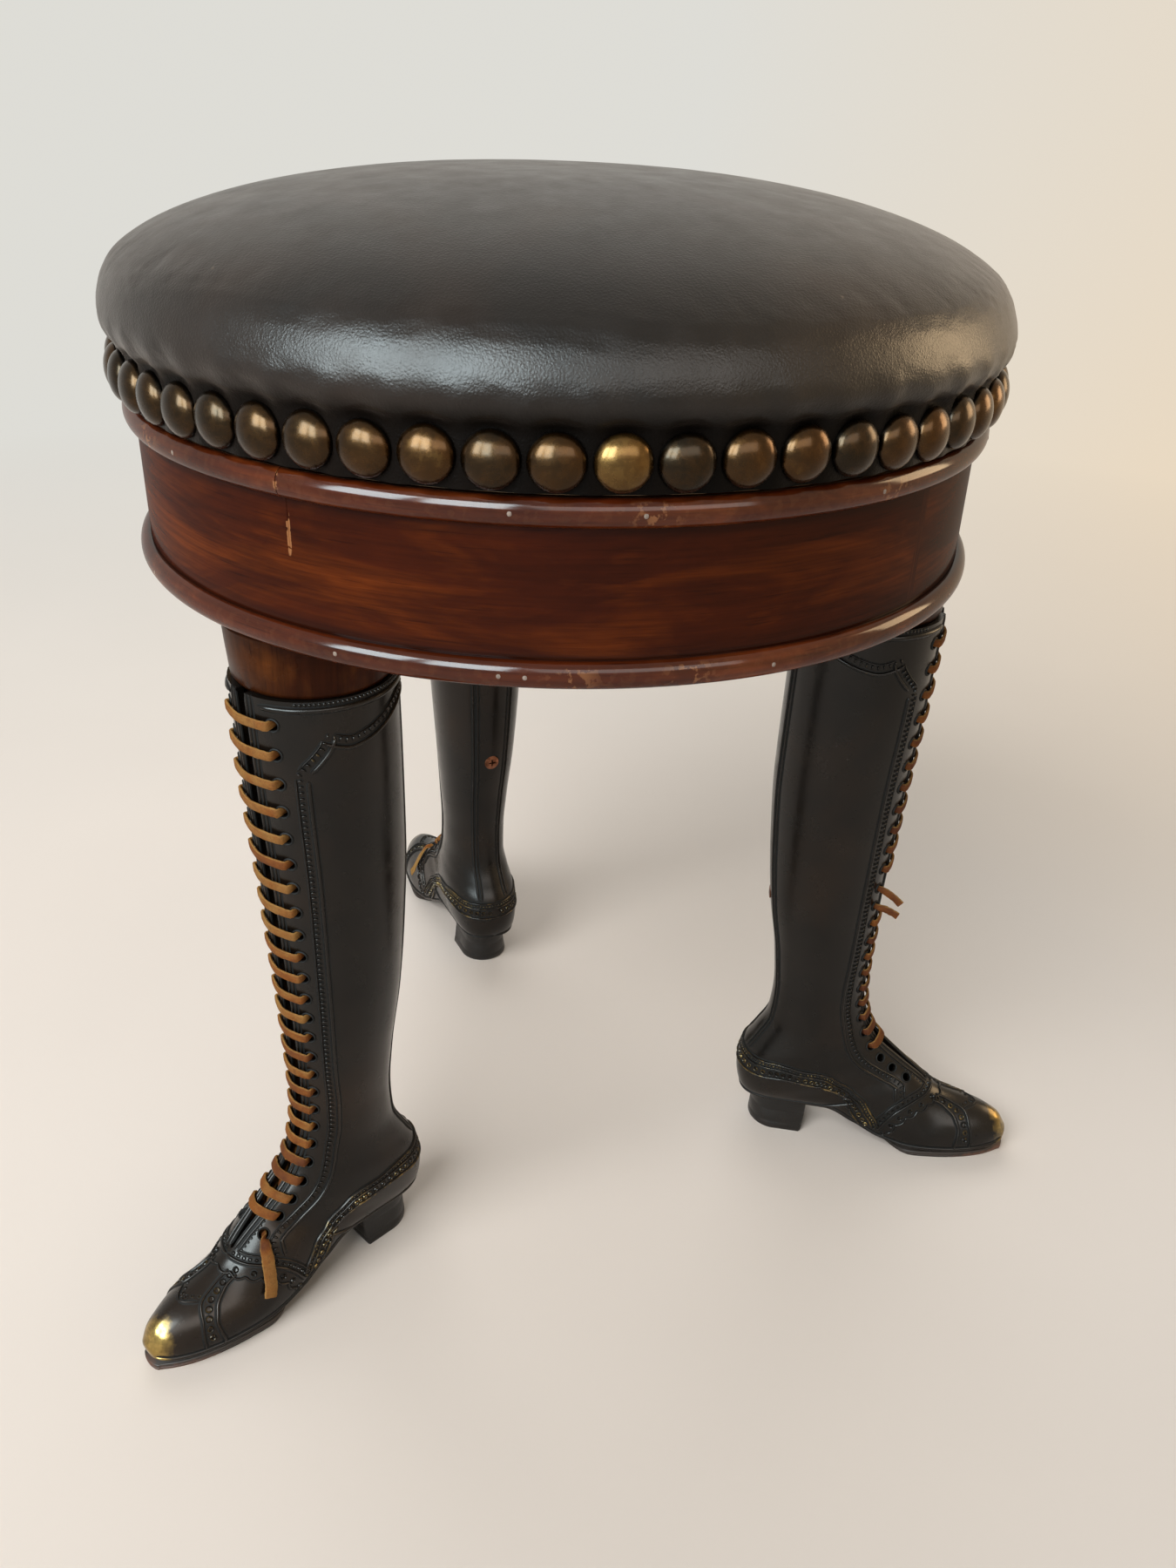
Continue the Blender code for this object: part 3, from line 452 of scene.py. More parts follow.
def patina_finish(settings):
    """Dark patinated casting, rubbed to brass where feet and hands touch it, black in its grooves, and
    painted shade in the same black on the eyelet rims.
    """
    make = Finish("patinated_boot_brass", 0.3, Specular_IOR_Level=0.32)
    spot = make.place()
    cloud = make.noise(spot, 38.0, 5.0, 0.6)
    dark = make.mix(make.span(cloud, 0.35, 0.68), tint(settings.patina, 0.75), tint(settings.patina, 1.25))
    brown = make.span(make.noise(spot, 17.0, 3.0), 0.45, 0.7, 0.0, 0.6)
    dark = make.mix(brown, dark, settings.brown)
    spots = make.noise(spot, 230.0, 5.0, 0.7)
    edge = make.noise(spot, 75.0, 5.0, 0.65)
    wear = make.value("wear")
    rub = make.maths("ADD", wear, make.span(edge, 0.25, 0.75, -0.3, 0.3))
    rub = make.maths("ADD", rub, make.span(spots, 0.3, 0.7, -0.16, 0.16))
    rub = make.span(rub, 0.42, 0.95)
    brass = make.mix(make.span(spots, 0.35, 0.65), settings.worn, tint(settings.worn, 1.7))
    # Black patina in the grooves, and painted shade on the eyelet rims.
    groove = make.span(wear, -0.6, -0.1, 1.0, 0.0)
    colour = make.mix(groove, make.mix(rub, dark, brass), (0.004, 0.0035, 0.003))
    make.to("Base Color", colour)
    make.to("Metallic", make.span(rub, 0.0, 1.0, 0.3, 1.0))
    gloss = make.span(make.noise(spot, 120.0, 5.0), 0.3, 0.72, 0.2, 0.3)
    make.to("Roughness", make.maths("ADD", gloss, make.maths("MULTIPLY", groove, 0.45)))
    dents = make.bump(make.noise(spot, 90.0, 3.0), 0.0002, 0.25)
    make.to("Normal", make.bump(make.noise(spot, 900.0, 3.0), 0.00005, 0.35, dents))
    return make.look


def thong_finish(settings):
    """Tan leather thong: each crossing in its own tone, raw pale edges, suede nap."""
    make = Finish("tan_leather_thong", 0.75, Specular_IOR_Level=0.08)
    spot = make.place()
    mottle = make.span(make.noise(spot, 160.0, 3.0), 0.3, 0.7, -0.2, 0.2)
    tone = make.maths("ADD", make.value("tone"), mottle)
    colour = make.mix(make.span(tone, 0.0, 0.5), settings.red_tan, settings.tan)
    colour = make.mix(make.span(tone, 0.5, 1.0), colour, settings.pale_tan)
    nap = make.noise(spot, 1900.0, 4.0, 0.7)
    stain = make.noise(spot, 420.0, 4.0, 0.65)
    stained = make.span(stain, 0.5, 0.72, 0.0, 0.55)
    stained = make.maths("MULTIPLY", stained, make.span(tone, 0.6, 1.0, 1.0, 0.2))
    colour = make.mix(stained, colour, settings.red_tan)
    colour = make.mix(make.span(nap, 0.42, 0.72, 0.0, 0.35), colour, tint(settings.red_tan, 0.6))
    raw = make.maths("MULTIPLY", make.value("raw"), make.span(nap, 0.3, 0.6))
    make.to("Base Color", make.mix(raw, colour, tint(settings.pale_tan, 1.2)))
    make.to("Normal", make.bump(nap, 0.0002, 0.6))
    return make.look


def screw_finish():
    """Copper-coloured screw, stained unevenly."""
    make = Finish("copper_wood_screw", 0.35, 1.0)
    spot = make.place()
    stain = make.noise(spot, 420.0, 4.0)
    copper = make.mix(make.span(stain, 0.35, 0.65), (0.09, 0.036, 0.020), (0.30, 0.125, 0.072))
    make.to("Base Color", copper)
    make.to("Roughness", make.span(stain, 0.3, 0.7, 0.28, 0.5))
    make.to("Normal", make.bump(make.noise(spot, 1500.0, 2.0), 0.00005, 0.4))
    return make.look


def hide_edge_finish(name, colour, dark, layers, rough):
    """Sole and heel leather: stacked lifts, blacked and scuffed, the red hide showing where worn."""
    make = Finish(name, rough, Specular_IOR_Level=0.4)
    spot = make.place()
    cloud = make.noise(spot, 120.0, 5.0, 0.65)
    lifts = make.noise(make.place((12.0, 12.0, layers)), 1.0, 3.0, 0.6)
    bare = make.maths("ADD", make.value("red"), make.span(cloud, 0.3, 0.7, -0.3, 0.3))
    body = make.mix(make.span(bare, 0.3, 0.8), dark, colour)
    body = make.mix(make.span(lifts, 0.45, 0.62, 0.0, 0.6), body, tint(dark, 0.5))
    make.to("Base Color", body)
    make.to("Roughness", make.span(cloud, 0.3, 0.7, rough * 0.75, rough * 1.25))
    nap = make.bump(make.noise(spot, 800.0, 4.0), 0.0002, 0.4)
    make.to("Normal", make.bump(lifts, 0.0003, 0.35, nap))
    return make.look


def plain_wood_finish(name, colour, stretch, knots=0.5):
    """Unpolished boards and pegs: growth rings drawn out along the grain."""
    make = Finish(name, 0.7, Specular_IOR_Level=0.3)
    spot = make.place(stretch)
    rings = make.noise(spot, 1.0, 4.0, 0.6, knots)
    fine = make.noise(spot, 9.0, 3.0, 0.6)
    body = make.mix(make.span(rings, 0.35, 0.66), tint(colour, 0.62), colour)
    body = make.mix(make.span(fine, 0.45, 0.7, 0.0, 0.4), body, tint(colour, 0.5))
    make.to("Base Color", body)
    make.to("Roughness", make.span(fine, 0.3, 0.7, 0.6, 0.82))
    make.to("Normal", make.bump(fine, 0.0002, 0.5))
    return make.look


# Boot skin, in the leg's frame


def boot_rows():
    """All sections in metres, with the shaft set out between the ankle and the rim."""
    rows = []
    for front, share, back, half in SHAFT_ROWS:
        z = ANKLE + share * (BOOT_TOP / MM - ANKLE)
        rows.append((front, z, back, z, half, 0.5, 2.0))
    table = np.array(rows + list(FOOT_ROWS)) * np.array([MM] * 5 + [1.0, 1.0])
    table[0, [1, 3]] += RIM_RISE
    return table


ROWS = boot_rows()


def smooth_between(values, spot):
    """Values at fractional places on a smooth line through rows of values that doesn't overshoot."""
    values = np.asarray(values, float)
    step = np.diff(values, axis=0)
    before, after = step[:-1], step[1:]
    turn = before * after > 0
    total = np.where(turn, before + after, 1.0)
    inner = np.where(turn, 2 * before * after / total, 0.0)
    slope = np.vstack([step[:1], inner, step[-1:]])
    spot = np.clip(np.asarray(spot, float), 0, len(values) - 1)
    low = np.minimum(spot.astype(int), len(values) - 2)
    u = (spot - low)[..., None]
    a, b, da, db = values[low], values[low + 1], slope[low], slope[low + 1]
    return (
        (2 * u**3 - 3 * u**2 + 1) * a
        + (u**3 - 2 * u**2 + u) * da
        + (3 * u**2 - 2 * u**3) * b
        + (u**3 - u**2) * db
    )


def skin(row, angle, inset=0.0):
    """Points on the boot's skin by row and by degrees round the section; the sign is the side."""
    row, angle = np.broadcast_arrays(np.asarray(row, float), np.asarray(angle, float))
    section = smooth_between(ROWS, row)
    front_x, front_z, back_x, back_z, half, widest, square = np.moveaxis(section, -1, 0)
    length = np.hypot(back_x - front_x, back_z - front_z)
    along_x, along_z = (back_x - front_x) / length, (back_z - front_z) / length
    room = length - 2 * inset
    turn = np.radians(np.abs(angle))
    ahead, side = np.cos(turn), np.sin(turn)
    peak = 2.0 - VAMP_PEAK * eased(row, 13.0, 16.0) * (1 - eased(row, 18.2, 19.7))
    power = np.where(ahead > 0, peak, square)
    reach = (np.abs(ahead) ** power + np.abs(side) ** power) ** (-1 / power)
    share = np.where(ahead > 0, widest, 1 - widest)
    down = inset + widest * room - ahead * reach * share * room
    out = np.sign(angle) * side * reach * (half - inset)
    return np.stack([front_x + along_x * down, out, front_z + along_z * down], -1)


def skin_slopes(row, angle):
    """How the skin's points move for a row and for a degree."""
    small = 0.01
    down = (skin(row + small, angle) - skin(row - small, angle)) / (2 * small)
    round_it = (skin(row, angle + small * 20) - skin(row, angle - small * 20)) / (40 * small)
    return down, round_it


def on_skin(line):
    """Points and outward normals of a line of (row, angle) places."""
    row, angle = np.clip(line[..., 0], 0.02, TOE_ROW - 0.02), line[..., 1]
    down, round_it = skin_slopes(row, angle)
    return skin(line[..., 0], angle), unit(np.cross(down, round_it))


def traced(stops, step=1.0 * MM, side=1.0):
    """Even places along a smooth line over the skin through stops of (row, angle)."""
    stops = np.asarray(stops, float)
    places = smooth_between(stops, np.linspace(0, len(stops) - 1, 40 * len(stops)))
    points = skin(places[:, 0], places[:, 1])
    walked = distances(points)
    count = max(int(round(walked[-1] / step)), 2)
    even = np.linspace(0, walked[-1], count + 1)
    line = np.stack([np.interp(even, walked, places[:, 0]), np.interp(even, walked, places[:, 1])], -1)
    return line * np.array([1.0, side])


def beside(line, offset):
    """A line moved sideways over the skin."""
    point, normal = on_skin(line)
    ahead = unit(np.gradient(point, axis=0))
    move = np.cross(ahead, normal) * offset
    down, round_it = skin_slopes(np.clip(line[:, 0], 0.02, TOE_ROW - 0.02), line[:, 1])
    aa, ab, bb = ((p * q).sum(-1) for p, q in ((down, down), (down, round_it), (round_it, round_it)))
    ma, mb = (down * move).sum(-1), (round_it * move).sum(-1)
    whole = np.maximum(aa * bb - ab * ab, 1e-18)
    return line + np.stack([(ma * bb - mb * ab) / whole, (mb * aa - ma * ab) / whole], -1)


def eyelet_rows():
    """Rows of the eyelet pairs, closer together towards the toe."""
    drop, margin, taper = 6.0 * MM + RIM_RISE, 10.6 * MM, 0.71
    walked = distances(ROWS[:, :2])
    room = walked[int(SLIT_ROW)] - drop - margin
    spaces = 1 + (taper - 1) * np.arange(EYELET_PAIRS - 1) / (EYELET_PAIRS - 2)
    down = drop + np.concatenate([[0], np.cumsum(spaces)]) * room / spaces.sum()
    return np.interp(down, walked, np.arange(len(ROWS)))


EYELET_ROWS = eyelet_rows()


def slit_edge(row, inset=0.0):
    """Angle of the slit's edge; it narrows on the instep and closes in a round end."""
    half = smooth_between(ROWS, row)[..., 4] - inset
    wide = np.interp(row, (TAPER_ROW, SLIT_ROW), (SLIT_WIDTH, SLIT_TIP))
    close = np.sqrt(np.clip((SLIT_ROW - row) / SLIT_ROUND, 0.0, 1.0))
    return np.degrees(np.arcsin(np.minimum(wide / 2 * close / half, 0.2)))


def rub_of(points):
    """How far the casting is rubbed bright: the toe cap, and a little at the ankle's front."""
    x, z = points[..., 0] / MM, points[..., 2] / MM
    toe = eased(x + 0.30 * np.minimum(z, 30.0), 94.0, 106.0) * 0.85
    low = 0.06 * eased(x, 40.0, 90.0)
    return toe + low


def casting_mesh(settings):
    """The hollow casting with its slit, rim, bore, rounded toe and eyelets."""
    upper = np.concatenate([np.arange(0, 6, 1 / 14), np.arange(6, SLIT_ROW - SLIT_ROUND, 1 / 6)])
    slit = np.concatenate([upper, SLIT_ROW - SLIT_ROUND * (1 - np.sin(np.linspace(0, math.pi / 2, 7)))])
    rows = np.concatenate([slit, np.arange(SLIT_ROW + 1 / 6, TOE_ROW + 0.01, 1 / 6)])
    columns = np.linspace(0, 1, 49)

    def ring_angles(row, inset):
        edge = slit_edge(row, inset)
        return edge + (180.0 - edge) * columns

    last_slit = len(slit) - 1
    points, faces = [], []

    def lay(row_values, inset):
        """Vertex numbers of each ring, from one slit edge round the back to the other."""
        rings = []
        for number, row in enumerate(row_values):
            angles = ring_angles(row, inset)
            side = skin(row, angles, inset)
            start = sum(len(p) for p in points)
            other = side[-2::-1] * np.array([1, -1, 1])
            if number >= last_slit:
                other = other[:-1]
            points.append(np.vstack([side, other]))
            ids = list(range(start, start + len(side) + len(other)))
            if number >= last_slit:
                ids.append(start)
            rings.append(ids)
        return rings

    outer = lay(rows, 0.0)
    bore = rows[rows <= BORE_ROW + 0.01]
    inner = lay(bore, BOOT_WALL)
    for rings in (outer, inner):
        for near, far in zip(rings, rings[1:]):
            for i in range(len(near) - 1):
                face = [near[i], near[i + 1], far[i + 1], far[i]]
                faces.append(tuple(dict.fromkeys(face)))
    for i in range(len(outer[0]) - 1):
        faces.append((outer[0][i], outer[0][i + 1], inner[0][i + 1], inner[0][i]))
    for side in (0, -1):
        for k in range(last_slit):
            face = (outer[k][side], outer[k + 1][side], inner[k + 1][side], inner[k][side])
            faces.append(tuple(dict.fromkeys(face)))
    faces.append(tuple(inner[-1][:-1]))
    tip = points[len(rows) - 1]
    middle = tip.mean(0)
    before = outer[-1][:-1]
    for shrink, ahead in ((0.86, 0.5), (0.6, 0.95), (0.3, 1.15)):
        start = sum(len(p) for p in points)
        points.append(middle + (tip - middle) * shrink + np.array([ahead, 0, 0]) * MM)
        ring = list(range(start, start + len(tip)))
        for i in range(len(ring)):
            j = (i + 1) % len(ring)
            faces.append((before[i], before[j], ring[j], ring[i]))
        before = ring
    faces.append(tuple(before))
    heap, holes = Heap(), Heap()
    heap.add(np.vstack(points), faces)
    reach = settings.eyelet / 2
    eyelet = ((0, 4 * MM), (reach, 4 * MM), (reach, -7 * MM), (0, -7 * MM))
    for row in EYELET_ROWS:
        for side in (1.0, -1.0):
            turned(holes, eyelet, EYELET_SIDES, skin_frame(row, side * EYELET_ANGLE))
    head, shank = 4.3, 2.2
    screw = ((0, 3), (head, 3), (head, -0.3), (shank, -2.5), (shank, -9), (0, -9))
    turned(holes, np.array(screw) * MM, 32, screw_matrix())
    mesh = cut_away(heap.mesh("boot_casting", CASTING_CREASE), holes.mesh("eyelet_holes"))
    mark(softened(mesh, CASTING_CREASE), "wear", rub_of(points_of(mesh)))
    return mesh


def skin_frame(row, angle, lift=0.0):
    """Matrix on the skin: z out of the boot and x down it."""
    point, normal = on_skin(np.array([row, angle]))
    down = unit(skin_slopes(np.array(row), np.array(angle))[0])
    side = np.cross(normal, down)
    down = np.cross(side, normal)
    frame_at = Matrix.Identity(4)
    for i in range(3):
        frame_at[i][0], frame_at[i][1], frame_at[i][2] = down[i], side[i], normal[i]
        frame_at[i][3] = point[i] + normal[i] * lift
    return frame_at


def back_row(z):
    """Row whose back point lies at a height on the shaft."""
    grid = np.linspace(0, 9, 901)
    return float(np.interp(-z, -skin(grid, 180.0)[:, 2], grid))


def screw_matrix():
    """Frame of the boot screw: z out of the boot's back, its head flush."""
    low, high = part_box("boot_screw_front")
    z = (low.z + high.z) / 2
    point = skin(back_row(z), 180.0)
    turn = Matrix((Vector((0, 1, 0)), Vector((0, 0, -1)), Vector((-1, 0, 0)))).transposed().to_4x4()
    return Matrix.Translation((point[0], 0, z)) @ turn


# Raised work on the boots

SINK = 0.5 * MM  # how deep the raised work's foot lies in the casting


def ridge(heap, line, width, height, rub=0.0, groove=0.7 * MM):
    """A half-round cord of metal along a line on the skin, between dark grooves and thin at its ends."""
    point, normal = on_skin(line)
    ahead = unit(np.gradient(point, axis=0))
    side = unit(np.cross(ahead, normal))
    turn = np.linspace(0, math.pi, 7)
    rim = width / 2 + groove
    across = np.concatenate([[rim], np.cos(turn) * width / 2, [-rim, -rim * 0.97, rim * 0.97]])
    up = np.concatenate([[0.03 * MM], 0.07 * MM + np.sin(turn) * height, [0.03 * MM, -SINK, -SINK]])
    glow = np.concatenate([[-0.6, -0.9], np.full(5, 1.0), [-0.9, -0.6, -0.6, -0.6]])
    fade = np.ones(len(line))
    fade[[0, -1]] = 0.45
    fade[[1, -2]] = 0.85
    rings = (
        point[:, None]
        + side[:, None] * (across * fade[:, None])[..., None]
        + normal[:, None] * np.where(up > 0.1 * MM, up * fade[:, None], up)[..., None]
    )
    wear = np.where(glow > 0, (rub_of(point) + rub)[:, None], glow)
    heap.add(rings, tube_faces(len(line), len(across)), wear=wear.ravel())


def studs(heap, line, long, wide, height, rub=0.0, hollow=0.0):
    """Small raised dots along a line, or rings with a dimple where hollow is given."""
    point, normal = on_skin(line)
    ahead = unit(np.gradient(point, axis=0))
    side = unit(np.cross(ahead, normal))
    turn = full_turn(10)
    levels = [(1.35, -SINK), (1.35, 0.04 * MM), (1.02, 0.08 * MM)]
    levels += [(0.95, 0.4 * height), (0.72, 0.88 * height)]
    levels += [(0.42, height)] if not hollow else [(0.62, 0.8 * height), (0.46, 0.1 * height - hollow)]
    wear = rub_of(point) + rub
    faces = tube_faces(len(levels), len(turn))
    shade = np.repeat([-0.6, -0.6, -0.9] + [0.0] * (len(levels) - 3), len(turn))
    for spot, out, forth, over, rubbed in zip(point, normal, ahead, side, wear):
        rings = [
            spot
            + np.outer(np.cos(turn) * share * long / 2, forth)
            + np.outer(np.sin(turn) * share * wide / 2, over)
            + out * level
            for share, level in levels
        ]
        glow = np.where(shade < 0, shade, rubbed)
        if hollow:
            glow[-len(turn) :] = -1.0
        heap.add(np.concatenate(rings), faces, wear=glow)


def scallops(heap, line, depth, pitch, width, height, rub=0.0):
    """A wavy edge of small half rounds along a line."""
    walked = distances(skin(line[:, 0], line[:, 1]))
    wave = np.abs(np.sin(math.pi * walked / pitch)) * depth
    ridge(heap, beside(line, wave[:, None]), width, height, rub, 0.4 * MM)


def level_line(angles, z, low, high):
    """Places at one height, for each angle, between two rows."""
    grid = np.linspace(low, high, 240)
    rows = []
    for angle in angles:
        heights = skin(grid, angle)[:, 2]
        rows.append(grid[np.abs(heights - z).argmin()])
    return np.stack([rows, angles], -1)


def welt_line():
    """Line round the foot just above the sole, from the heel on one side to the toe's tip."""
    rows = np.concatenate([np.linspace(12.5, 19.4, 32), [19.75, 20.0]])
    angles = []
    grid = np.linspace(92, 178, 173)
    for row in rows:
        points = skin(row, grid)
        want = points[:, 2].min() + 3.0 * MM
        angles.append(grid[np.abs(points[:, 2] - want).argmin()])
    return np.stack([rows, angles], -1)


# Lines of the tooling as (row, angle) stops on the skin, for one side
LADDER = (
    (0.745, 42.5), (1.1, 42.5), (2.0, 43.0), (3.0, 43.0), (4.0, 43.5), (4.84, 45.5),
    (5.6, 49.0), (6.4, 50.0), (7.4, 48.0), (8.6, 45.5), (10.06, 42.0), (11.12, 39.0),
    (12.02, 38.5), (12.72, 41.0), (13.16, 49.0), (13.7, 60.0),
)
OGEE_BACK = (
    (0.14, 152.0), (0.16, 141.0), (0.20, 128.0), (0.26, 117.0), (0.34, 104.0), (0.40, 91.0), (0.43, 80.0),
    (0.40, 71.0), (0.36, 63.0),
)
OGEE_FRONT = ((0.36, 63.0), (0.45, 60.5), (0.58, 53.5), (0.68, 46.5), (0.745, 42.5))
COUNTER = (
    (8.86, 180.0), (8.88, 160.0), (8.98, 142.0), (9.08, 128.0), (9.16, 112.0), (9.38, 97.0),
    (9.74, 84.0), (10.1, 74.0), (10.56, 68.5), (11.28, 67.0), (11.9, 69.5), (12.52, 79.0),
    (13.1, 90.0), (13.64, 98.0), (14.04, 102.5), (14.5, 110.0),
)
VAMP = (
    (14.36, 0.0), (14.34, 14.0), (14.28, 28.0), (14.16, 40.0), (14.08, 50.0), (14.06, 62.0), (14.1, 74.0),
    (14.26, 88.0), (14.46, 103.0), (14.62, 116.0),
)
WING_OUT = (
    (14.94, 27.0), (15.46, 26.0), (15.96, 30.0), (16.38, 37.0), (16.7, 48.0), (16.94, 58.0), (17.15, 76.0),
    (17.3, 95.0), (17.4, 112.0),
)
WING_IN = (
    (14.92, 15.0), (15.56, 14.5), (16.0, 16.0), (16.4, 18.5), (16.75, 24.0), (17.02, 34.0), (17.25, 47.0),
    (17.5, 62.0), (17.75, 82.0), (17.9, 102.0),
)
WING_HOLES = (
    (15.12, 20.5), (15.54, 20.5), (15.98, 23.0), (16.48, 28.0), (16.78, 37.0), (17.02, 47.0),
    (17.24, 59.0), (17.45, 76.0),
)
CAP = ((17.25, 0.0), (17.12, 8.0), (16.92, 14.0), (16.75, 20.0))
# Beaded seams, and the parts of the ridges inside and outside them that are made
SEAMS = (
    (LADDER, (2, None), (3, None)),
    (OGEE_FRONT, (2, -1), (0, -3)),
    (OGEE_BACK, (0, -2), (0, None)),
)
RIM_START, ROLL_START = 44.0, 17.0  # angles at which the rim's dots and its roll start
FACING_STOP = 13.9  # row down to which the facings are edged


def tooling_mesh(settings):
    """All the raised lines, stitches, dots and rims of one boot."""
    heap = Heap()
    proud = settings.tooling
    row_step = np.linalg.norm(skin(0.0, 90.0) - skin(1.0, 90.0))

    def drop(distance):
        return distance / row_step

    for side in (1.0, -1.0):
        rim = traced([(drop(1.0 * MM), angle) for angle in (RIM_START, 90, 180)], 1.6 * MM, side)
        studs(heap, rim, 1.2 * MM, 1.3 * MM, 0.7 * proud, 0.15)
        around = [(drop(3.2 * MM), ROLL_START + k * (180 - ROLL_START) / 6) for k in range(7)]
        ridge(heap, traced(around, 2.0 * MM, side), 2.2 * MM, 1.2 * proud, 0.1, 0.5 * MM)
        for stops, inner, outer in SEAMS:
            line = traced(stops, 1.0 * MM, side)
            rail, edge = beside(line, side * 1.3 * MM), beside(line, side * -2.9 * MM)
            ridge(heap, rail[slice(*inner)], 0.6 * MM, 0.7 * proud, 0.15, 0.4 * MM)
            ridge(heap, edge[slice(*outer)], 1.4 * MM, 1.1 * proud, 0.15, 0.5 * MM)
            studs(heap, traced(stops, 2.4 * MM, side)[1:], 0.9 * MM, 1.9 * MM, 1.0 * proud, 0.25)
        grid = np.linspace(0.0, FACING_STOP, 60)
        for off, wide in ((0.9 * MM, 1.2 * MM), (2.9 * MM, 0.8 * MM)):
            inner = np.stack([grid, slit_edge(grid) + 0.2], -1)
            inner[:, 1] *= side
            facing = traced(inner, 1.5 * MM)
            ridge(heap, beside(facing, -side * off), wide, 0.7 * proud, 0.2)
        dots = traced([(11.9, 18.0), (12.96, 18.0), (13.5, 17.0), (14.0, 14.5)], 2.1 * MM, side)
        studs(heap, dots, 0.9 * MM, 0.9 * MM, 0.6 * proud, 0.3)
        for angle in (152.5, 158.5):
            stay = traced([(0.16, angle), (3.0, angle), (6.0, angle), (8.7, angle)], 2.0 * MM, side)
            ridge(heap, stay, 0.9 * MM, 0.75 * proud, 0.1)
        counter = traced(COUNTER, 1.0 * MM, side)
        for off, wide, high in ((0.0, 1.0, 1.0), (2.9, 0.8, 0.8), (8.4, 1.1, 0.9)):
            ridge(heap, beside(counter, side * -off * MM), wide * MM, high * proud, 0.42)
        stitches = beside(traced(COUNTER, 1.7 * MM, side), side * -1.45 * MM)
        studs(heap, stitches, 0.9 * MM, 0.9 * MM, 0.7 * proud, 0.5)
        rings = beside(traced(COUNTER, 3.4 * MM, side), side * -5.4 * MM)
        studs(heap, rings[1:-1], 2.5 * MM, 2.5 * MM, 1.0 * proud, 0.5, hollow=0.35 * MM)
        vamp = traced(VAMP, 1.0 * MM, side)
        ridge(heap, vamp, 1.2 * MM, 1.0 * proud, 0.15)
        ridge(heap, beside(vamp, side * -3.5 * MM)[4:], 0.7 * MM, 0.7 * proud, 0.12)
        rings = beside(traced(VAMP, 2.8 * MM, side), side * -1.75 * MM)
        studs(heap, rings[1:], 1.6 * MM, 1.6 * MM, 0.7 * proud, 0.15, hollow=0.2 * MM)
        large = beside(traced(VAMP, 6.4 * MM, side), side * 3.4 * MM)
        studs(heap, large[1:], 2.5 * MM, 2.5 * MM, 1.0 * proud, 0.2, hollow=0.1 * MM)
        edge = beside(traced(VAMP, 0.5 * MM, side), side * 4.9 * MM)
        scallops(heap, edge, side * 1.5 * MM, 6.4 * MM, 0.9 * MM, 0.8 * proud, 0.12)
        ridge(heap, traced(WING_OUT, 1.0 * MM, side), 1.2 * MM, 1.0 * proud, 0.15)
        ridge(heap, traced(WING_IN, 1.0 * MM, side), 0.8 * MM, 0.8 * proud, 0.12)
        holes = traced(WING_HOLES, 4.0 * MM, side)
        studs(heap, holes, 2.8 * MM, 2.8 * MM, 0.9 * proud, 0.4, hollow=0.4 * MM)
        cap = traced(CAP, 1.0 * MM, side)
        ridge(heap, cap, 0.7 * MM, 0.6 * proud, 0.12)
        holes = beside(traced(CAP, 2.6 * MM, side), side * -2.2 * MM)
        studs(heap, holes, 1.4 * MM, 1.4 * MM, 0.5 * proud, 0.3, hollow=0.3 * MM)
        welt = welt_line() * np.array([1.0, side])
        ridge(heap, traced(welt, 1.2 * MM), 1.7 * MM, 1.0 * proud, 0.0)
        seat = level_line(np.linspace(100, 180, 18) * side, 21.2 * MM, 9.0, 13.0)
        ridge(heap, traced(seat, 1.5 * MM), 1.6 * MM, 0.9 * proud, 0.0)
        reach = settings.eyelet / 2
        cut = [(reach - 0.1 * MM, -SINK), (reach + 0.7 * MM, -SINK), (reach + 0.6 * MM, 0.3 * proud)]
        cut += [(reach + 0.25 * MM, 0.55 * proud), (reach - 0.05 * MM, 0.3 * proud)]
        ring = spun(cut, full_turn(EYELET_SIDES))[0]
        for row in EYELET_ROWS:
            spots = moved(ring, skin_frame(row, side * EYELET_ANGLE))
            # Painted shade: the eyelet rims are marked deep in the groove range, so they render black like
            # the shade in the holes.
            heap.add(spots, tube_faces(EYELET_SIDES, len(cut), True), wear=rub_of(spots).ravel() - 0.7)
    return heap.mesh("boot_tooling", 50.0)


# Laces

UNDER, OVER = -4.1 * MM, 1.5 * MM  # heights of the thong's middle under and over the facings
FOOT_SPREAD = 0.05  # how much wider the lowest crossing lies than the top one
TAIL_SPREAD = 1.4


def lace_stop(pair, angle, height, width=1.0):
    """One stop of a thong: its point, the direction of its width, and how much of it is spread."""
    row = float(np.interp(pair, np.arange(EYELET_PAIRS), EYELET_ROWS))
    frame_at = skin_frame(row, angle, height)
    return np.array(frame_at.translation), np.array(frame_at.col[0][:3]), width


def lace_bar(pair, side):
    """A crossing out of one eyelet, over the facing and into the other."""
    near = side * EYELET_ANGLE
    shape = ((-0.97, UNDER, 0.8), (-0.96, -1.5 * MM, 0.8), (-0.9, 0.85 * OVER, 0.95), (-0.62, OVER, 1.0))
    grow = 1 + FOOT_SPREAD * pair / EYELET_PAIRS
    stops = [lace_stop(pair, near * share, height, wide * grow) for share, height, wide in shape]
    stops.append(lace_stop(pair, 0.0, OVER + 0.35 * MM, grow))
    stops += [lace_stop(pair, -near * share, height, wide * grow) for share, height, wide in shape[::-1]]
    return stops


def lacing(first, last, side):
    """A spiral lacing between two pairs; side is where each crossing goes in."""
    stops = []
    for pair in range(first, last + 1):
        stops += lace_bar(pair, side)
        if pair < last:
            stops.append(lace_stop(pair + 0.5, 0.0, UNDER - 0.2 * MM))
    return stops


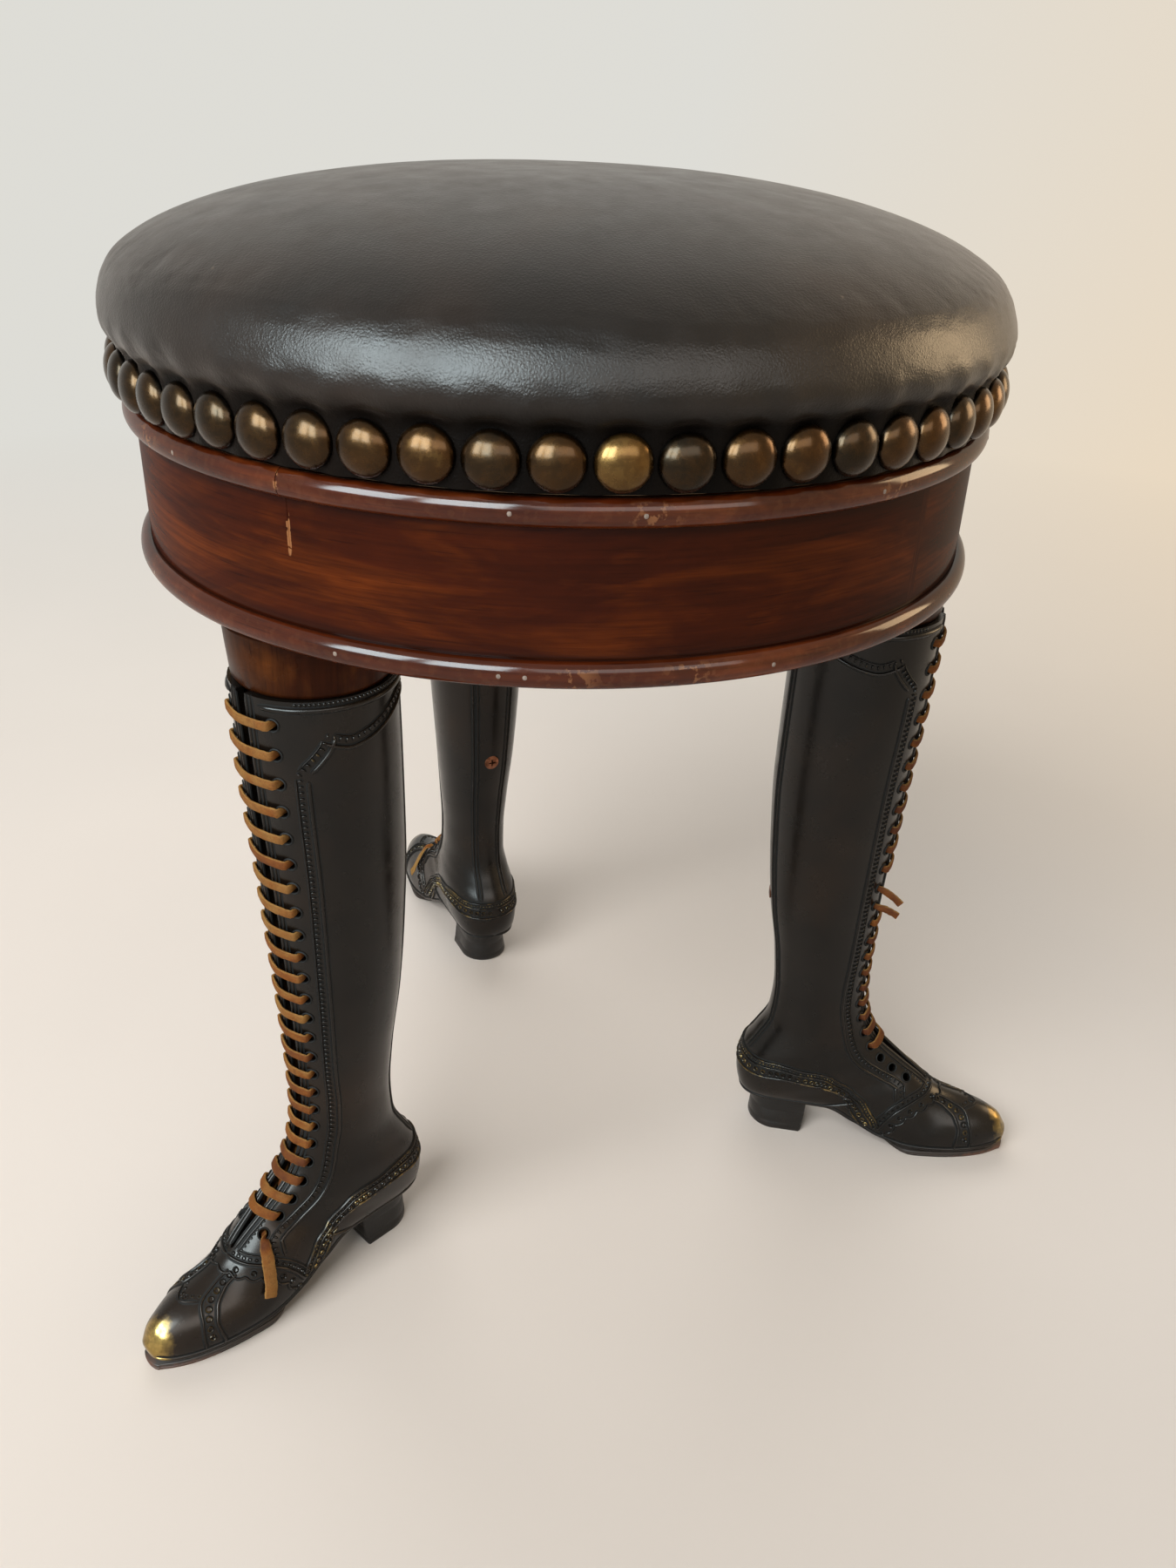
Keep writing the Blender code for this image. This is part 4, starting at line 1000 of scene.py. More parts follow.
def lace_tail(pair, side):
    """The whole lace's end: out of the lowest eyelet and down over the side of the foot."""
    angle = side * EYELET_ANGLE
    stops = [lace_stop(pair - 0.4, angle * 0.3, UNDER), lace_stop(pair, angle, UNDER, 0.7)]
    stops.append(lace_stop(pair, angle, -1.4 * MM, 0.68))
    row = EYELET_ROWS[pair]
    places = np.array([(row + k * 0.39, EYELET_ANGLE + 1.0 + k * 6.7) for k in range(1, 8)]) * (1.0, side)
    point, normal = on_skin(places)
    ahead = unit(np.gradient(point, axis=0))
    across = unit(np.cross(normal, ahead))
    lifts = np.array([1.8, 2.3, 2.3, 2.3, 2.3, 2.3, 2.6]) * MM
    wide = np.array([1.05, 1.3, 1.4, 1.4, 1.4, 1.4, 1.4]) / 1.4 * TAIL_SPREAD
    laid = zip(point, normal, across, lifts, wide)
    return stops + [(p + n * lift, w, share) for p, n, w, lift, share in laid]


def lace_end(pair, side, drop):
    """A torn end that stands forward out of an eyelet."""
    stops = [lace_stop(pair, side * EYELET_ANGLE, height, 0.7) for height in (UNDER, 0.0)]
    point, width, _ = lace_stop(pair, side * EYELET_ANGLE, OVER)
    stops.append((point, width, 0.85))
    for reach, sag in ((3.0, 0.0), (6.0, 0.5), (9.0, 1.6)):
        ahead = np.array([reach, side * 0.35 * reach, -drop * reach - sag]) * MM
        stops.append((point + ahead, width, 1.0))
    return stops


def thong_mesh(name, stops, settings, seed, worn=0.0):
    """Sweep the flat thong along its stops; each crossing gets a tone of its own."""
    chance = np.random.RandomState(seed)
    spans = 4  # rings from one stop to the next
    spot = np.linspace(0, len(stops) - 1, (len(stops) - 1) * spans + 1)
    point, width = (smooth_between(np.array([stop[i] for stop in stops]), spot) for i in (0, 1))
    spread = smooth_between(np.array([[stop[2]] for stop in stops]), spot)[:, 0]
    ahead = unit(np.gradient(point, axis=0))
    flat = unit(np.cross(ahead, width))
    broad = unit(np.cross(flat, ahead))
    upper = [(1, 0.35), (0.8, 1), (0, 1.1), (-0.8, 1), (-1, 0.35)]
    lower = [(-1, -0.35), (-0.8, -1), (0, -1.05), (0.8, -1), (1, -0.35)]
    outline = np.array(upper + lower)
    ragged = 1 + 0.05 * chance.randn(len(spot), len(outline))
    across = outline[:, 0] * ragged * (spread * settings.width / 2)[:, None]
    up = outline[:, 1] * (settings.thickness / 2 * np.clip(2 - spread, 0.8, 1.3) ** 0.5)[:, None]
    rings = point[:, None] + broad[:, None] * across[..., None] + flat[:, None] * up[..., None]
    tones = chance.uniform(0.1, 0.7, EYELET_PAIRS + 3) - worn
    number = np.minimum(spot / 10.0, EYELET_PAIRS + 1)
    bright = 0.2 * (1 - spot / spot[-1]) + 0.5 * eased(spread, 1.2, TAIL_SPREAD)
    tone = np.repeat(tones[number.astype(int)] + bright, len(outline))
    raw = np.tile((np.abs(outline[:, 0]) > 0.9).astype(float), len(spot))
    heap = Heap()
    heap.add(rings, tube_faces(len(spot), len(outline)), tone=tone, raw=raw)
    return heap.mesh(name, 60.0)


# Soles and heels


def moved_in(outline, inset):
    """A closed outline in the plane moved inwards."""
    step = np.roll(outline, -1, 0) - np.roll(outline, 1, 0)
    side = unit(np.stack([-step[:, 1], step[:, 0]], -1))
    return outline + side * inset


def oblong(half_long, half_wide):
    """Corners of an oblong in the plane, given in millimetres."""
    return np.array([(1, 1), (-1, 1), (-1, -1), (1, -1)]) * (half_long, half_wide) * MM


def stacked(heap, outlines, heights, **values):
    """A body of flat outlines, one on the other."""
    rings = [np.column_stack([ring, np.full(len(ring), z)]) for ring, z in zip(outlines, heights)]
    heap.add(np.stack(rings), tube_faces(len(rings), len(rings[0])), **values)


def sole_mesh():
    """Half sole with a rounded, scored edge, cut to the casting."""
    low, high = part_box("half_sole_front")
    thick = high.z - low.z
    back = 38.0 * MM
    rows = np.linspace(12.6, TOE_ROW, 70)
    section = smooth_between(ROWS, rows)
    keep = section[:, 2] >= back
    x, half = section[keep, 2], section[keep, 4] * 0.94 + 0.6 * MM
    half *= 0.5 + 0.5 * eased(x, back, back + 20 * MM) ** 0.6
    tip = ROWS[-1, 0] + 0.6 * MM
    turn = np.linspace(0, math.pi / 2, 9)[1:-1]
    nose_x = x[-1] + (tip - x[-1]) * np.sin(turn)
    nose_half = half[-1] * np.cos(turn)
    half = np.concatenate([[half[0]], half, nose_half, [0.0]])
    side = np.column_stack([np.concatenate([[back], x, nose_x, [tip]]), half])
    outline = np.vstack([side, side[-2::-1] * (1, -1)])[::-1]
    levels = ((0.0, 0.55), (0.1, 0.12), (0.42, 0.0), (0.5, 0.32), (0.58, 0.0), (0.9, 0.05), (1.0, 0.4))
    rings = [moved_in(outline, inset * MM) for _, inset in levels]
    grid = np.linspace(10.0, TOE_ROW, 200)
    bottom = smooth_between(ROWS, grid)
    lift = np.interp(outline[:, 0], bottom[:, 2], bottom[:, 3]) - ROWS[-5, 3]
    lift = np.where(outline[:, 0] < ROWS[-5, 2], np.clip(lift, 0.0, 6.0 * MM), 0.0)
    full = 0.2 + 0.8 * eased(outline[:, 0], back, back + 24 * MM)
    heights = [lift + thick * (1 - (1 - share) * full) for share, _ in levels]
    points = np.stack([np.column_stack([ring, z]) for ring, z in zip(rings, heights)])
    fade = [1 - 0.7 * share for share, _ in levels]
    red = np.stack([eased(ring[:, 0], 60 * MM, 98 * MM) * part for ring, part in zip(rings, fade)])
    heap = Heap()
    heap.add(points, tube_faces(len(rings), len(outline)), red=red.ravel())
    return heap.mesh("half_sole_leather", 50.0)


def heel_mesh():
    """Heel block of stacked lifts, waisted under the casting and flared to the floor."""
    low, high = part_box("heel_block_front")
    tall = high.z - low.z
    half_top, back, breast, flare = 11.3 * MM, 23.0 * MM, 4.4 * MM, 2.2 * MM

    def outline(grow, inset):
        half = half_top + grow
        turn = np.radians(np.linspace(-90, -270, 41))
        x = -(back + 0.3 * grow - half) + half * np.cos(turn)
        round_back = np.column_stack([x, half * np.sin(turn)])
        front = breast - 0.6 * grow
        corner = 0.8 * MM
        near = front - corner
        sides = [(near, half), (front, half - corner), (front, 0), (front, corner - half), (near, -half)]
        return moved_in(np.vstack([round_back, sides])[::-1], inset)

    levels = [(0.0, 0.5), (0.03, 0.1), (0.12, 0.0)]
    for seam in (0.22, 0.6):
        levels += [(seam - 0.03, 0.0), (seam, 0.16), (seam + 0.03, 0.0), (seam + 0.15, 0.0)]
    levels += [(0.88, 0.0), (0.98, 0.0), (1.0, 0.3)]
    outlines = [outline(flare * (1 - share) ** 2.3, inset * MM) for share, inset in levels]
    worn = np.repeat([0.45 * (1 - share) ** 2 for share, _ in levels], len(outlines[0]))
    heap = Heap()
    stacked(heap, outlines, [tall * share for share, _ in levels], red=worn)
    return heap.mesh("heel_leather", 50.0)


# Screws and posts


def screw_mesh():
    """Raised cross-head wood screw."""
    heap = Heap()
    head = ((0, 0.55), (1.6, 0.48), (3.0, 0.24), (3.85, 0.0), (4.0, -0.3))
    shank = ((1.9, -2.2), (1.9, -16.2), (0, -20.0))
    turned(heap, np.array(head + shank) * MM, 32)
    mesh = heap.mesh("boot_screw_copper")
    deep = ((0.35, -1.5), (1.0, 1.5))
    for long, wide in ((2.6, 0.5), (0.5, 2.6)):
        slot = Heap()
        stacked(slot, [oblong(long, wide) * share for share, _ in deep], [z * MM for _, z in deep])
        mesh = cut_away(mesh, slot.mesh("slot"))
    mesh.transform(screw_matrix())
    return softened(mesh, CASTING_CREASE)


def post_mesh():
    """Turned collar with its tenon above and its plug down the boot."""
    top = HOOP_LOW.z - CLEAR
    rim = ROWS[0, 1]
    shoulder = rim + CLEAR
    tenon_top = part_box("leg_post_front")[1].z
    wide, narrow, tenon = 29.4 * MM, 28.0 * MM, 12.0 * MM
    edge = 0.8 * MM
    profile = [(0, tenon_top), (tenon, tenon_top), (tenon, top), (wide - edge, top), (wide, top - edge)]
    waist = (wide - 0.35 * (wide - narrow), shoulder + 0.6 * (top - shoulder))
    profile += [waist, (narrow + 0.1 * MM, shoulder + 2 * edge), (narrow - edge, shoulder), (0, shoulder)]
    collar = Heap()
    turned(collar, profile, 96)
    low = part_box("leg_post_front")[0].z
    grid = np.linspace(0, 6, 601)
    stop = float(np.interp(-low, -skin(grid, 0.0)[:, 2], grid))
    angles = np.linspace(-180, 180, 65)[:-1]
    rings = [skin(0.0, angles, BOOT_WALL + CLEAR) + np.array([0, 0, shoulder + 8 * MM - rim])]
    rings += [skin(row, angles, BOOT_WALL + CLEAR) for row in np.linspace(0.0, stop, 24)]
    for ring in rings:
        ring[:, 0] = np.minimum(ring[:, 0], ROWS[0, 0] - 9.6 * MM)
    plug = Heap()
    plug.add(np.stack(rings), tube_faces(len(rings), len(angles)))
    mesh = cut_away(collar.mesh("post"), plug.mesh("plug"), "UNION")
    pilot = Heap()
    turned(pilot, np.array(((0, 6), (2.2, 6), (2.2, -21), (0, -21))) * MM, 20, screw_matrix())
    mesh = cut_away(mesh, pilot.mesh("pilot"))
    slot = Heap()
    levels = ((-16.3, 0.9), (0.0, 2.3), (6.0, 2.3))
    stacked(slot, [oblong(half, 14) for _, half in levels], [tenon_top + z * MM for z, _ in levels])
    mesh = softened(cut_away(mesh, slot.mesh("slot")), 40.0)
    spots = points_of(mesh)
    mark(mesh, "grain", spots[:, [2, 0, 1]])
    # Painted shade: the collar darkens next to the boot's rim and under the hoop.
    near = np.minimum(np.abs(spots[:, 2] - shoulder), np.abs(spots[:, 2] - top))
    mark(mesh, "grime", 0.5 * (1 - eased(near, 0.0, 2.5 * MM)))
    return mesh


# Seat and nails

NAIL_COUNT = 57
NAIL_HEAD = 17.1 * MM
NAIL_SIDES = 28
GOLD_NAIL = 50  # the one head that is rubbed bright
NAIL_STEP = 2 * math.pi / NAIL_COUNT
HIDE_RADIUS = 160.5 * MM
SEAT_WIDE = 167.2 * MM
SEAT_FULL = BOARD_TOP + 12.5 * MM  # level of the crown's ellipse
SHOULDER = 16.0 * MM  # where the crown bends over into the roll, above the seat's full width
# The roll down to the nails: lengths, and the slope in degrees that each ends with
ROLL_BENDS = ((10.5 * MM, 60.0), (13.5 * MM, 81.0), (2.5 * MM, 96.0), (6.0 * MM, 140.0), (5.5 * MM, 90.0))
SEAT_SIDES = NAIL_COUNT * 8
NAIL_SHIFT, NAIL_STRETCH = 0.012, 0.027  # radians
SEAT_DRIFT = 0.4 * MM  # how far the filling has gone over to the camera's left
FILL_FRAMES = 12


def nail_turns():
    """Angles of the nails, driven a little wider apart on the side that faces the camera."""
    even = full_turn(NAIL_COUNT)
    return even + NAIL_SHIFT + NAIL_STRETCH * np.sin(even - VIEW_TURN + math.pi / 2)


def seat_rings(crown):
    """(radius, z) of the seat's rings: crown, roll, skirt, its lower edge and the flat underside."""
    shoulder = math.acos(SHOULDER / crown)
    middle = np.radians(np.linspace(0.8, 20, 6))
    turn = np.concatenate([middle, np.linspace(math.radians(24), shoulder, 18)])
    rings = [(SEAT_WIDE * math.sin(a), SEAT_FULL + crown * math.cos(a)) for a in turn]
    heading = math.degrees(math.atan2(crown * math.sin(shoulder), SEAT_WIDE * math.cos(shoulder)))
    walk = [rings[-1]]
    for length, stop in ROLL_BENDS:
        steps = math.ceil(length / (1.3 * MM))
        for share in (np.arange(steps) + 0.5) / steps:
            slope = math.radians(heading + (stop - heading) * share)
            step = length / steps
            walk.append((walk[-1][0] + step * math.cos(slope), walk[-1][1] - step * math.sin(slope)))
        heading = stop
    miss = HIDE_RADIUS - walk[-1][0]
    rings += [(r + miss * k / (len(walk) - 1), z) for k, (r, z) in enumerate(walk) if k]
    foot = rings[-1][1]
    for share in np.linspace(0.2, 1.0, 5):
        rings.append((HIDE_RADIUS, foot + (SEAT_LOW.z - foot) * share))
    inside = HIDE_RADIUS - 1.9 * MM
    rings += [(inside + 0.6 * MM, SEAT_LOW.z - 0.3 * MM), (inside, SEAT_LOW.z)]
    rings += [(inside, BOARD_TOP - 6 * MM), (inside, BOARD_TOP + CLEAR)]
    rings += [(inside * share, BOARD_TOP + CLEAR) for share in (0.75, 0.4, 0.02)]
    return np.array(rings)


def plump(piece, held, cap):
    """Fill the seat by cloth pressure, with its skirt and underside held, and keep the result."""
    mesh = piece.data
    start = points_of(mesh)
    group = piece.vertex_groups.new(name="held")
    group.add([int(i) for i in held], 1.0, "REPLACE")
    cloth = piece.modifiers.new("fill", "CLOTH")
    setup = cloth.settings
    setup.quality, setup.mass = 4, 0.4
    setup.tension_stiffness = setup.compression_stiffness = 60.0
    setup.shear_stiffness, setup.bending_stiffness = 20.0, 6.0
    setup.use_pressure, setup.uniform_pressure_force = True, 20.0
    setup.vertex_group_mass = "held"
    setup.effector_weights.gravity = 0.0
    scene = bpy.context.scene
    cloth.point_cache.frame_start, cloth.point_cache.frame_end = 1, FILL_FRAMES
    for number in range(1, FILL_FRAMES + 1):
        scene.frame_set(number)
    graph = bpy.context.evaluated_depsgraph_get()
    move = points_of(piece.evaluated_get(graph).to_mesh()) - start
    piece.evaluated_get(graph).to_mesh_clear()
    piece.modifiers.remove(cloth)
    piece.vertex_groups.clear()
    scene.frame_set(1)
    far = np.linalg.norm(move, axis=1, keepdims=True)
    move *= np.minimum(1.0, cap / np.maximum(far, 1e-9))
    mesh.vertices.foreach_set("co", (start + move).ravel())
    mesh.update()


def pucker(mesh, depth, seed):
    """Press the hide in round each nail, let it swell between them unevenly, and let the filling drift."""
    chance = np.random.RandomState(seed)
    spots = points_of(mesh)
    spots[:, :2] -= AXIS[:2]
    radius, z = np.hypot(spots[:, 0], spots[:, 1]), spots[:, 2].copy()
    turn = np.arctan2(spots[:, 1], spots[:, 0]) % (2 * math.pi)
    nails = nail_turns()
    nails = np.concatenate([nails[-1:] - 2 * math.pi, nails, nails[:1] + 2 * math.pi])
    beat = np.interp(turn, nails, np.arange(-1, NAIL_COUNT + 1))
    aside = (beat - np.round(beat)) * NAIL_STEP * HIDE_RADIUS
    reach = np.hypot(aside, z - NAIL_LEVEL)
    press = 1 - eased(reach, NAIL_HEAD / 2, NAIL_HEAD / 2 + 3.8 * MM)
    depths = chance.uniform(0.6, 1.4, NAIL_COUNT)
    strength = depths[np.floor(beat).astype(int) % NAIL_COUNT]
    between = (0.5 - 0.5 * np.cos(2 * math.pi * beat)) ** 1.5
    outside = eased(radius, HIDE_RADIUS - 1.5 * MM, HIDE_RADIUS - 0.4 * MM)
    low = 1 - eased(z, BOARD_TOP - 2 * MM, SEAT_FULL + 3 * MM)
    sunk = np.maximum(radius - HIDE_RADIUS, 0.0) * press
    swell = depth * between * strength * low
    spots[:, :2] *= (1 + (outside * swell - sunk) / np.maximum(radius, 1e-6))[:, None]
    waves = sum(
        chance.uniform(-1, 1) * np.cos(k * turn + chance.uniform(0, 6.28)) / k for k in range(2, 7)
    )
    crown = eased(z, SEAT_FULL, SEAT_FULL + 20 * MM)
    spots[:, 2] += 0.5 * MM * waves * crown * eased(radius, 20 * MM, 110 * MM)
    to_left = np.array((-math.cos(VIEW_TURN), -math.sin(VIEW_TURN)))
    full = eased(z, BOARD_TOP + 3 * MM, SEAT_FULL + 6 * MM)
    spots[:, 2] += SEAT_DRIFT * 0.7 * full * (spots[:, :2] @ to_left) / SEAT_WIDE
    spots[:, :2] += SEAT_DRIFT * full[:, None] * to_left
    spots[:, :2] += AXIS[:2]
    mesh.vertices.foreach_set("co", spots.ravel())
    mesh.update()


def seat_mesh():
    """The seat's closed form: crown, roll, skirt and flat underside."""
    rings = seat_rings(SEAT_HIGH.z - SEAT_FULL - 1.4 * MM)
    points, _ = spun(rings, full_turn(SEAT_SIDES))
    heap = Heap()
    # The shade mark is painted shade: 1 on the skirt and underside, fading out just above the seat board's
    # top.
    shade = np.repeat(1 - eased(rings[:, 1], BOARD_TOP - 1 * MM, BOARD_TOP + 6 * MM), SEAT_SIDES)
    heap.add(points.transpose(1, 0, 2), tube_faces(len(rings), SEAT_SIDES), shade=shade)
    return heap.mesh("seat_cushion", 75.0), rings


def nails_mesh(settings):
    """The row of domed heads, each a little askew and in its own tone."""
    chance = np.random.RandomState(11)
    radius, dome = settings.head / 2, settings.dome
    turn = np.radians(np.linspace(90, 9, 10))
    rim = 0.5 * MM
    profile = [(0, 0), (radius * 0.96, 0), (radius, 0.35 * MM)]
    profile += [(radius * math.sin(a), rim + (dome - rim) * math.cos(a)) for a in turn] + [(0, dome)]
    # The edge mark is painted shade: 1 at the head's foot and rim, fading out up its side.
    edge = np.repeat([1.0, 1.0] + [max(0.0, (math.sin(a) - 0.96) / 0.04) for a in turn], NAIL_SIDES)
    edge = np.concatenate([edge, [1.0, 0.0]])
    heap = Heap()
    for number, turn in enumerate(nail_turns()):
        tone = 0.9 if number == GOLD_NAIL else chance.uniform(0.05, 0.62)
        over, round_it = chance.normal(0, 0.025), chance.normal(0, 0.025)
        lean = Matrix.Rotation(over, 4, "X") @ Matrix.Rotation(round_it, 4, "Y")
        aside, above = chance.normal(0, 0.12) * MM, chance.normal(0, 0.2) * MM
        frame_at = facing_out(turn, HIDE_RADIUS + 0.15 * MM, NAIL_LEVEL + above, aside) @ lean
        turned(heap, profile, NAIL_SIDES, frame_at, tone=tone, edge=edge)
    return heap.mesh("nail_heads", 50.0)


# Drum

DRUM_SIDES = 240
JOINT = math.radians(279.6)  # where the hoop's ends and the top bead's ends meet
LOW_JOINT = JOINT + 2.4  # where the bottom bead's ends meet, on the far side
# Places round the drum in degrees: the pins and the chips of both beads
TOP_PINS = (305.5, 319.1, 262.0, 348.0, 20.0, 75.0, 130.0, 185.0, 225.0)
LOW_PINS = (285.8, 304.4, 307.2, 250.0, 335.0, 10.0, 60.0, 118.0, 172.0, 215.0)
TOP_CHIPS = (320.0, 350.0, 255.0, 150.0)
LOW_CHIPS = (312.5, 325.0, 210.0, 95.0)


def off_turn(turns, at):
    """Smallest angle between turns and one place."""
    return np.abs((np.asarray(turns) - at + math.pi) % (2 * math.pi) - math.pi)


def band_mesh():
    """The hoop's smooth band with its joint and dowel holes, and painted shade along its edges by the beads
    and on its hidden faces.
    """
    out, inside = HOOP_RADIUS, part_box("base_board")
    inside = (inside[1].x - inside[0].x) / 2 + CLEAR
    low, high, edge = HOOP_LOW.z, HOOP_HIGH.z, 0.5 * MM
    tall = np.linspace(low + edge, high - edge, 23)
    profile = [(out, z) for z in tall] + [(out - edge, high), (inside + edge, high), (inside, high - edge)]
    profile += [(inside, low + edge), (inside + edge, low), (out - edge, low)]
    joint = 0.28 * MM / out
    by_joint = JOINT + np.array([-3, -1, 0, 1, 3]) * joint
    turns = np.sort(np.concatenate([full_turn(DRUM_SIDES), by_joint]) % (2 * math.pi))
    points, grain = spun(profile, turns)
    crack = off_turn(turns, JOINT) < 1.5 * joint
    radius, z = np.asarray(profile).T
    open_part = eased(z, low + 0.5 * (high - low), low + 0.62 * (high - low))
    groove = np.outer(off_turn(turns, JOINT) < 0.5 * joint, open_part * (radius > out - 0.1 * MM))
    points[..., :2] *= (1 - groove * 0.3 * MM / out)[..., None]
    pale = np.outer(crack, open_part)
    # Painted shade: the outer face darkens within a few millimetres of each bead, the hidden faces a little
    # all over.
    near = np.minimum(np.abs(z - (low + 9 * MM)), np.abs(z - (high - 9 * MM)))
    grime = np.where(radius > out - 1 * MM, 0.75 * (1 - eased(near, 0.0, 3.0 * MM)), 0.3)
    heap = Heap()
    heap.add(
        points,
        tube_faces(len(turns), len(profile), True),
        grain=grain.reshape(-1, 3),
        chip=(pale * 3.0).ravel(),
        grime=np.broadcast_to(grime, pale.shape).ravel(),
    )
    mesh = heap.mesh("apron_band", 30.0)
    holes = Heap()
    for leg, _ in LEGS:
        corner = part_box(f"seat_dowel_{leg}")
        middle = (corner[0] + corner[1]) / 2 - AXIS
        wide, deep, top = 2.8 * MM, corner[0].z - CLEAR, high + 2 * MM
        hole = ((0, top), (wide, top), (wide, deep), (0, deep))
        turned(holes, hole, 24, Matrix.Translation((middle.x, middle.y, 0)))
    return cut_away(mesh, holes.mesh("dowel_holes"))


def bead_mesh(name, node, joint_at, chips):
    """A half-round moulding bent round the hoop, its two ends meeting at the joint."""
    low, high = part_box(node)
    inside = HOOP_RADIUS + 0.12 * MM
    reach = (high.x - low.x) / 2 - inside
    tall = high.z - low.z
    profile = [(inside, high.z), (inside + 0.2 * reach, high.z)]
    for a in np.radians(np.linspace(84, -84, 17)):
        out, up = 0.14 + 0.86 * math.cos(a), 0.5 + 0.5 * math.sin(a)
        profile.append((inside + reach * out, low.z + tall * up))
    profile += [(inside + 0.2 * reach, low.z), (inside, low.z)]
    gap = 0.16 * MM / HOOP_RADIUS
    close = np.array([0.25, 0.5, 0.8, 1.2]) * MM / HOOP_RADIUS
    around = 2 * math.pi - 2 * gap
    middle = np.linspace(0, around, DRUM_SIDES + 1)[1:-1]
    turns = joint_at + gap + np.concatenate([[0.0], close, middle, around - close[::-1], [around]])
    points, grain = spun(profile, turns)
    radius = np.array(profile)[:, 0]
    worn = sum(np.exp(-((off_turn(turns, math.radians(at)) * HOOP_RADIUS / (5 * MM)) ** 2)) for at in chips)
    worn = 0.6 * worn + 2.5 * np.exp(-((off_turn(turns, joint_at) * HOOP_RADIUS / (0.5 * MM)) ** 2))
    belly = eased(radius, inside + 0.5 * reach, inside + 0.9 * reach)
    chip = np.outer(worn, belly) + 0.04 * belly
    # Painted shade: the bead darkens towards the band it sits against.
    grime = np.broadcast_to(0.85 * (1 - eased(radius, inside, inside + 0.45 * reach)), chip.shape)
    heap = Heap()
    heap.add(
        points,
        tube_faces(len(turns), len(profile)),
        grain=grain.reshape(-1, 3),
        chip=chip.ravel(),
        grime=grime.ravel(),
    )
    return heap.mesh(name, 40.0)


def pins_mesh():
    """Small filled pin heads on both beads."""
    profile = ((0, -1.5), (0.75, -1.5), (0.75, 0.05), (0.5, 0.18), (0, 0.22))
    heap = Heap()
    for node, places in (("top_bead", TOP_PINS), ("bottom_bead", LOW_PINS)):
        low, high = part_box(node)
        reach = (high.x - low.x) / 2
        for at in places:
            frame_at = facing_out(math.radians(at), reach - 0.1 * MM, (low.z + high.z) / 2)
            turned(heap, np.array(profile) * MM, 14, frame_at)
    return heap.mesh("bead_pins", 40.0)


# Settings


def colour_setting(name, description, default):
    """A colour that a user would change."""
    return FloatVectorProperty(
        name=name, description=description, default=default, size=3, min=0.0, max=1.0, subtype="COLOR"
    )


def length_setting(name, description, default):
    """A size that a user would change."""
    return FloatProperty(
        name=name, description=description, default=default, min=0.0, unit="LENGTH", precision=5
    )


def power_setting(name, description, default):
    """A lamp's power."""
    return FloatProperty(name=name, description=description, default=default, min=0.0, unit="POWER")


class StoolSeatSettings(bpy.types.PropertyGroup):
    hide: colour_setting("Hide", "Colour of the seat's leather", (0.010, 0.0070, 0.0054))
    brown: colour_setting("Brown", "Warm clouds and creases in the leather", (0.030, 0.0165, 0.0098))
    scuff: colour_setting("Scuffs", "Colour of the pale marks on the leather", (0.16, 0.12, 0.085))
    pucker: length_setting("Pucker", "How far the hide swells between two nails", 1.0 * MM)
    swell: length_setting("Swell", "The most that the filling may move the hide", 4.0 * MM)
    fill: FloatProperty(
        name="Fill",
        description="How tightly the seat is stuffed",
        default=0.9,
        min=0.0,
        max=1.0,
        subtype="FACTOR",
    )


class StoolNailSettings(bpy.types.PropertyGroup):
    head: length_setting("Head", "Diameter of a nail's head", NAIL_HEAD)
    dome: length_setting("Dome", "Height of a nail's head", 5.6 * MM)
    dark: colour_setting("Dark", "Colour of the oldest patina", (0.018, 0.0115, 0.0052))
    bronze: colour_setting("Bronze", "Colour of most heads", (0.054, 0.0245, 0.0058))
    gold: colour_setting("Rubbed", "Colour of rubbed heads", (0.13, 0.072, 0.02))


class StoolWoodSettings(bpy.types.PropertyGroup):
    band: colour_setting("Band", "Colour of the apron's mahogany", (0.070, 0.0105, 0.0015))
    band_glow: colour_setting("Band glow", "Light streaks of the apron's mahogany", (0.19, 0.038, 0.0035))
    bead: colour_setting("Beads", "Colour of the two beads", (0.105, 0.019, 0.004))
    bead_glow: colour_setting("Bead glow", "Light streaks of the two beads", (0.24, 0.060, 0.014))
    post: colour_setting("Posts", "Colour of the leg posts", (0.047, 0.010, 0.0017))
    post_glow: colour_setting("Post glow", "Light streaks of the leg posts", (0.125, 0.038, 0.007))
    board: colour_setting("Boards", "Colour of the hidden pine boards", (0.50, 0.34, 0.19))


class StoolBootSettings(bpy.types.PropertyGroup):
    patina: colour_setting("Patina", "Colour of the dark casting", (0.0095, 0.0078, 0.0064))
    brown: colour_setting("Brown", "Warm cast in the patina", (0.029, 0.0165, 0.0092))
    worn: colour_setting("Worn brass", "Colour of the rubbed toe caps", (0.24, 0.165, 0.055))
    eyelet: length_setting("Eyelet", "Diameter of an eyelet", 4.2 * MM)
    tooling: length_setting("Tooling", "Height of the raised lines", 0.85 * MM)


class StoolLaceSettings(bpy.types.PropertyGroup):
    width: length_setting("Width", "Width of the thongs at the top", 3.6 * MM)
    thickness: length_setting("Thickness", "Thickness of the thongs", 1.1 * MM)
    tan: colour_setting("Tan", "Colour of most crossings", (0.25, 0.088, 0.018))
    red_tan: colour_setting("Red tan", "Colour of the darker crossings", (0.105, 0.034, 0.014))
    pale_tan: colour_setting("Pale tan", "Colour of the lighter crossings", (0.33, 0.190, 0.058))


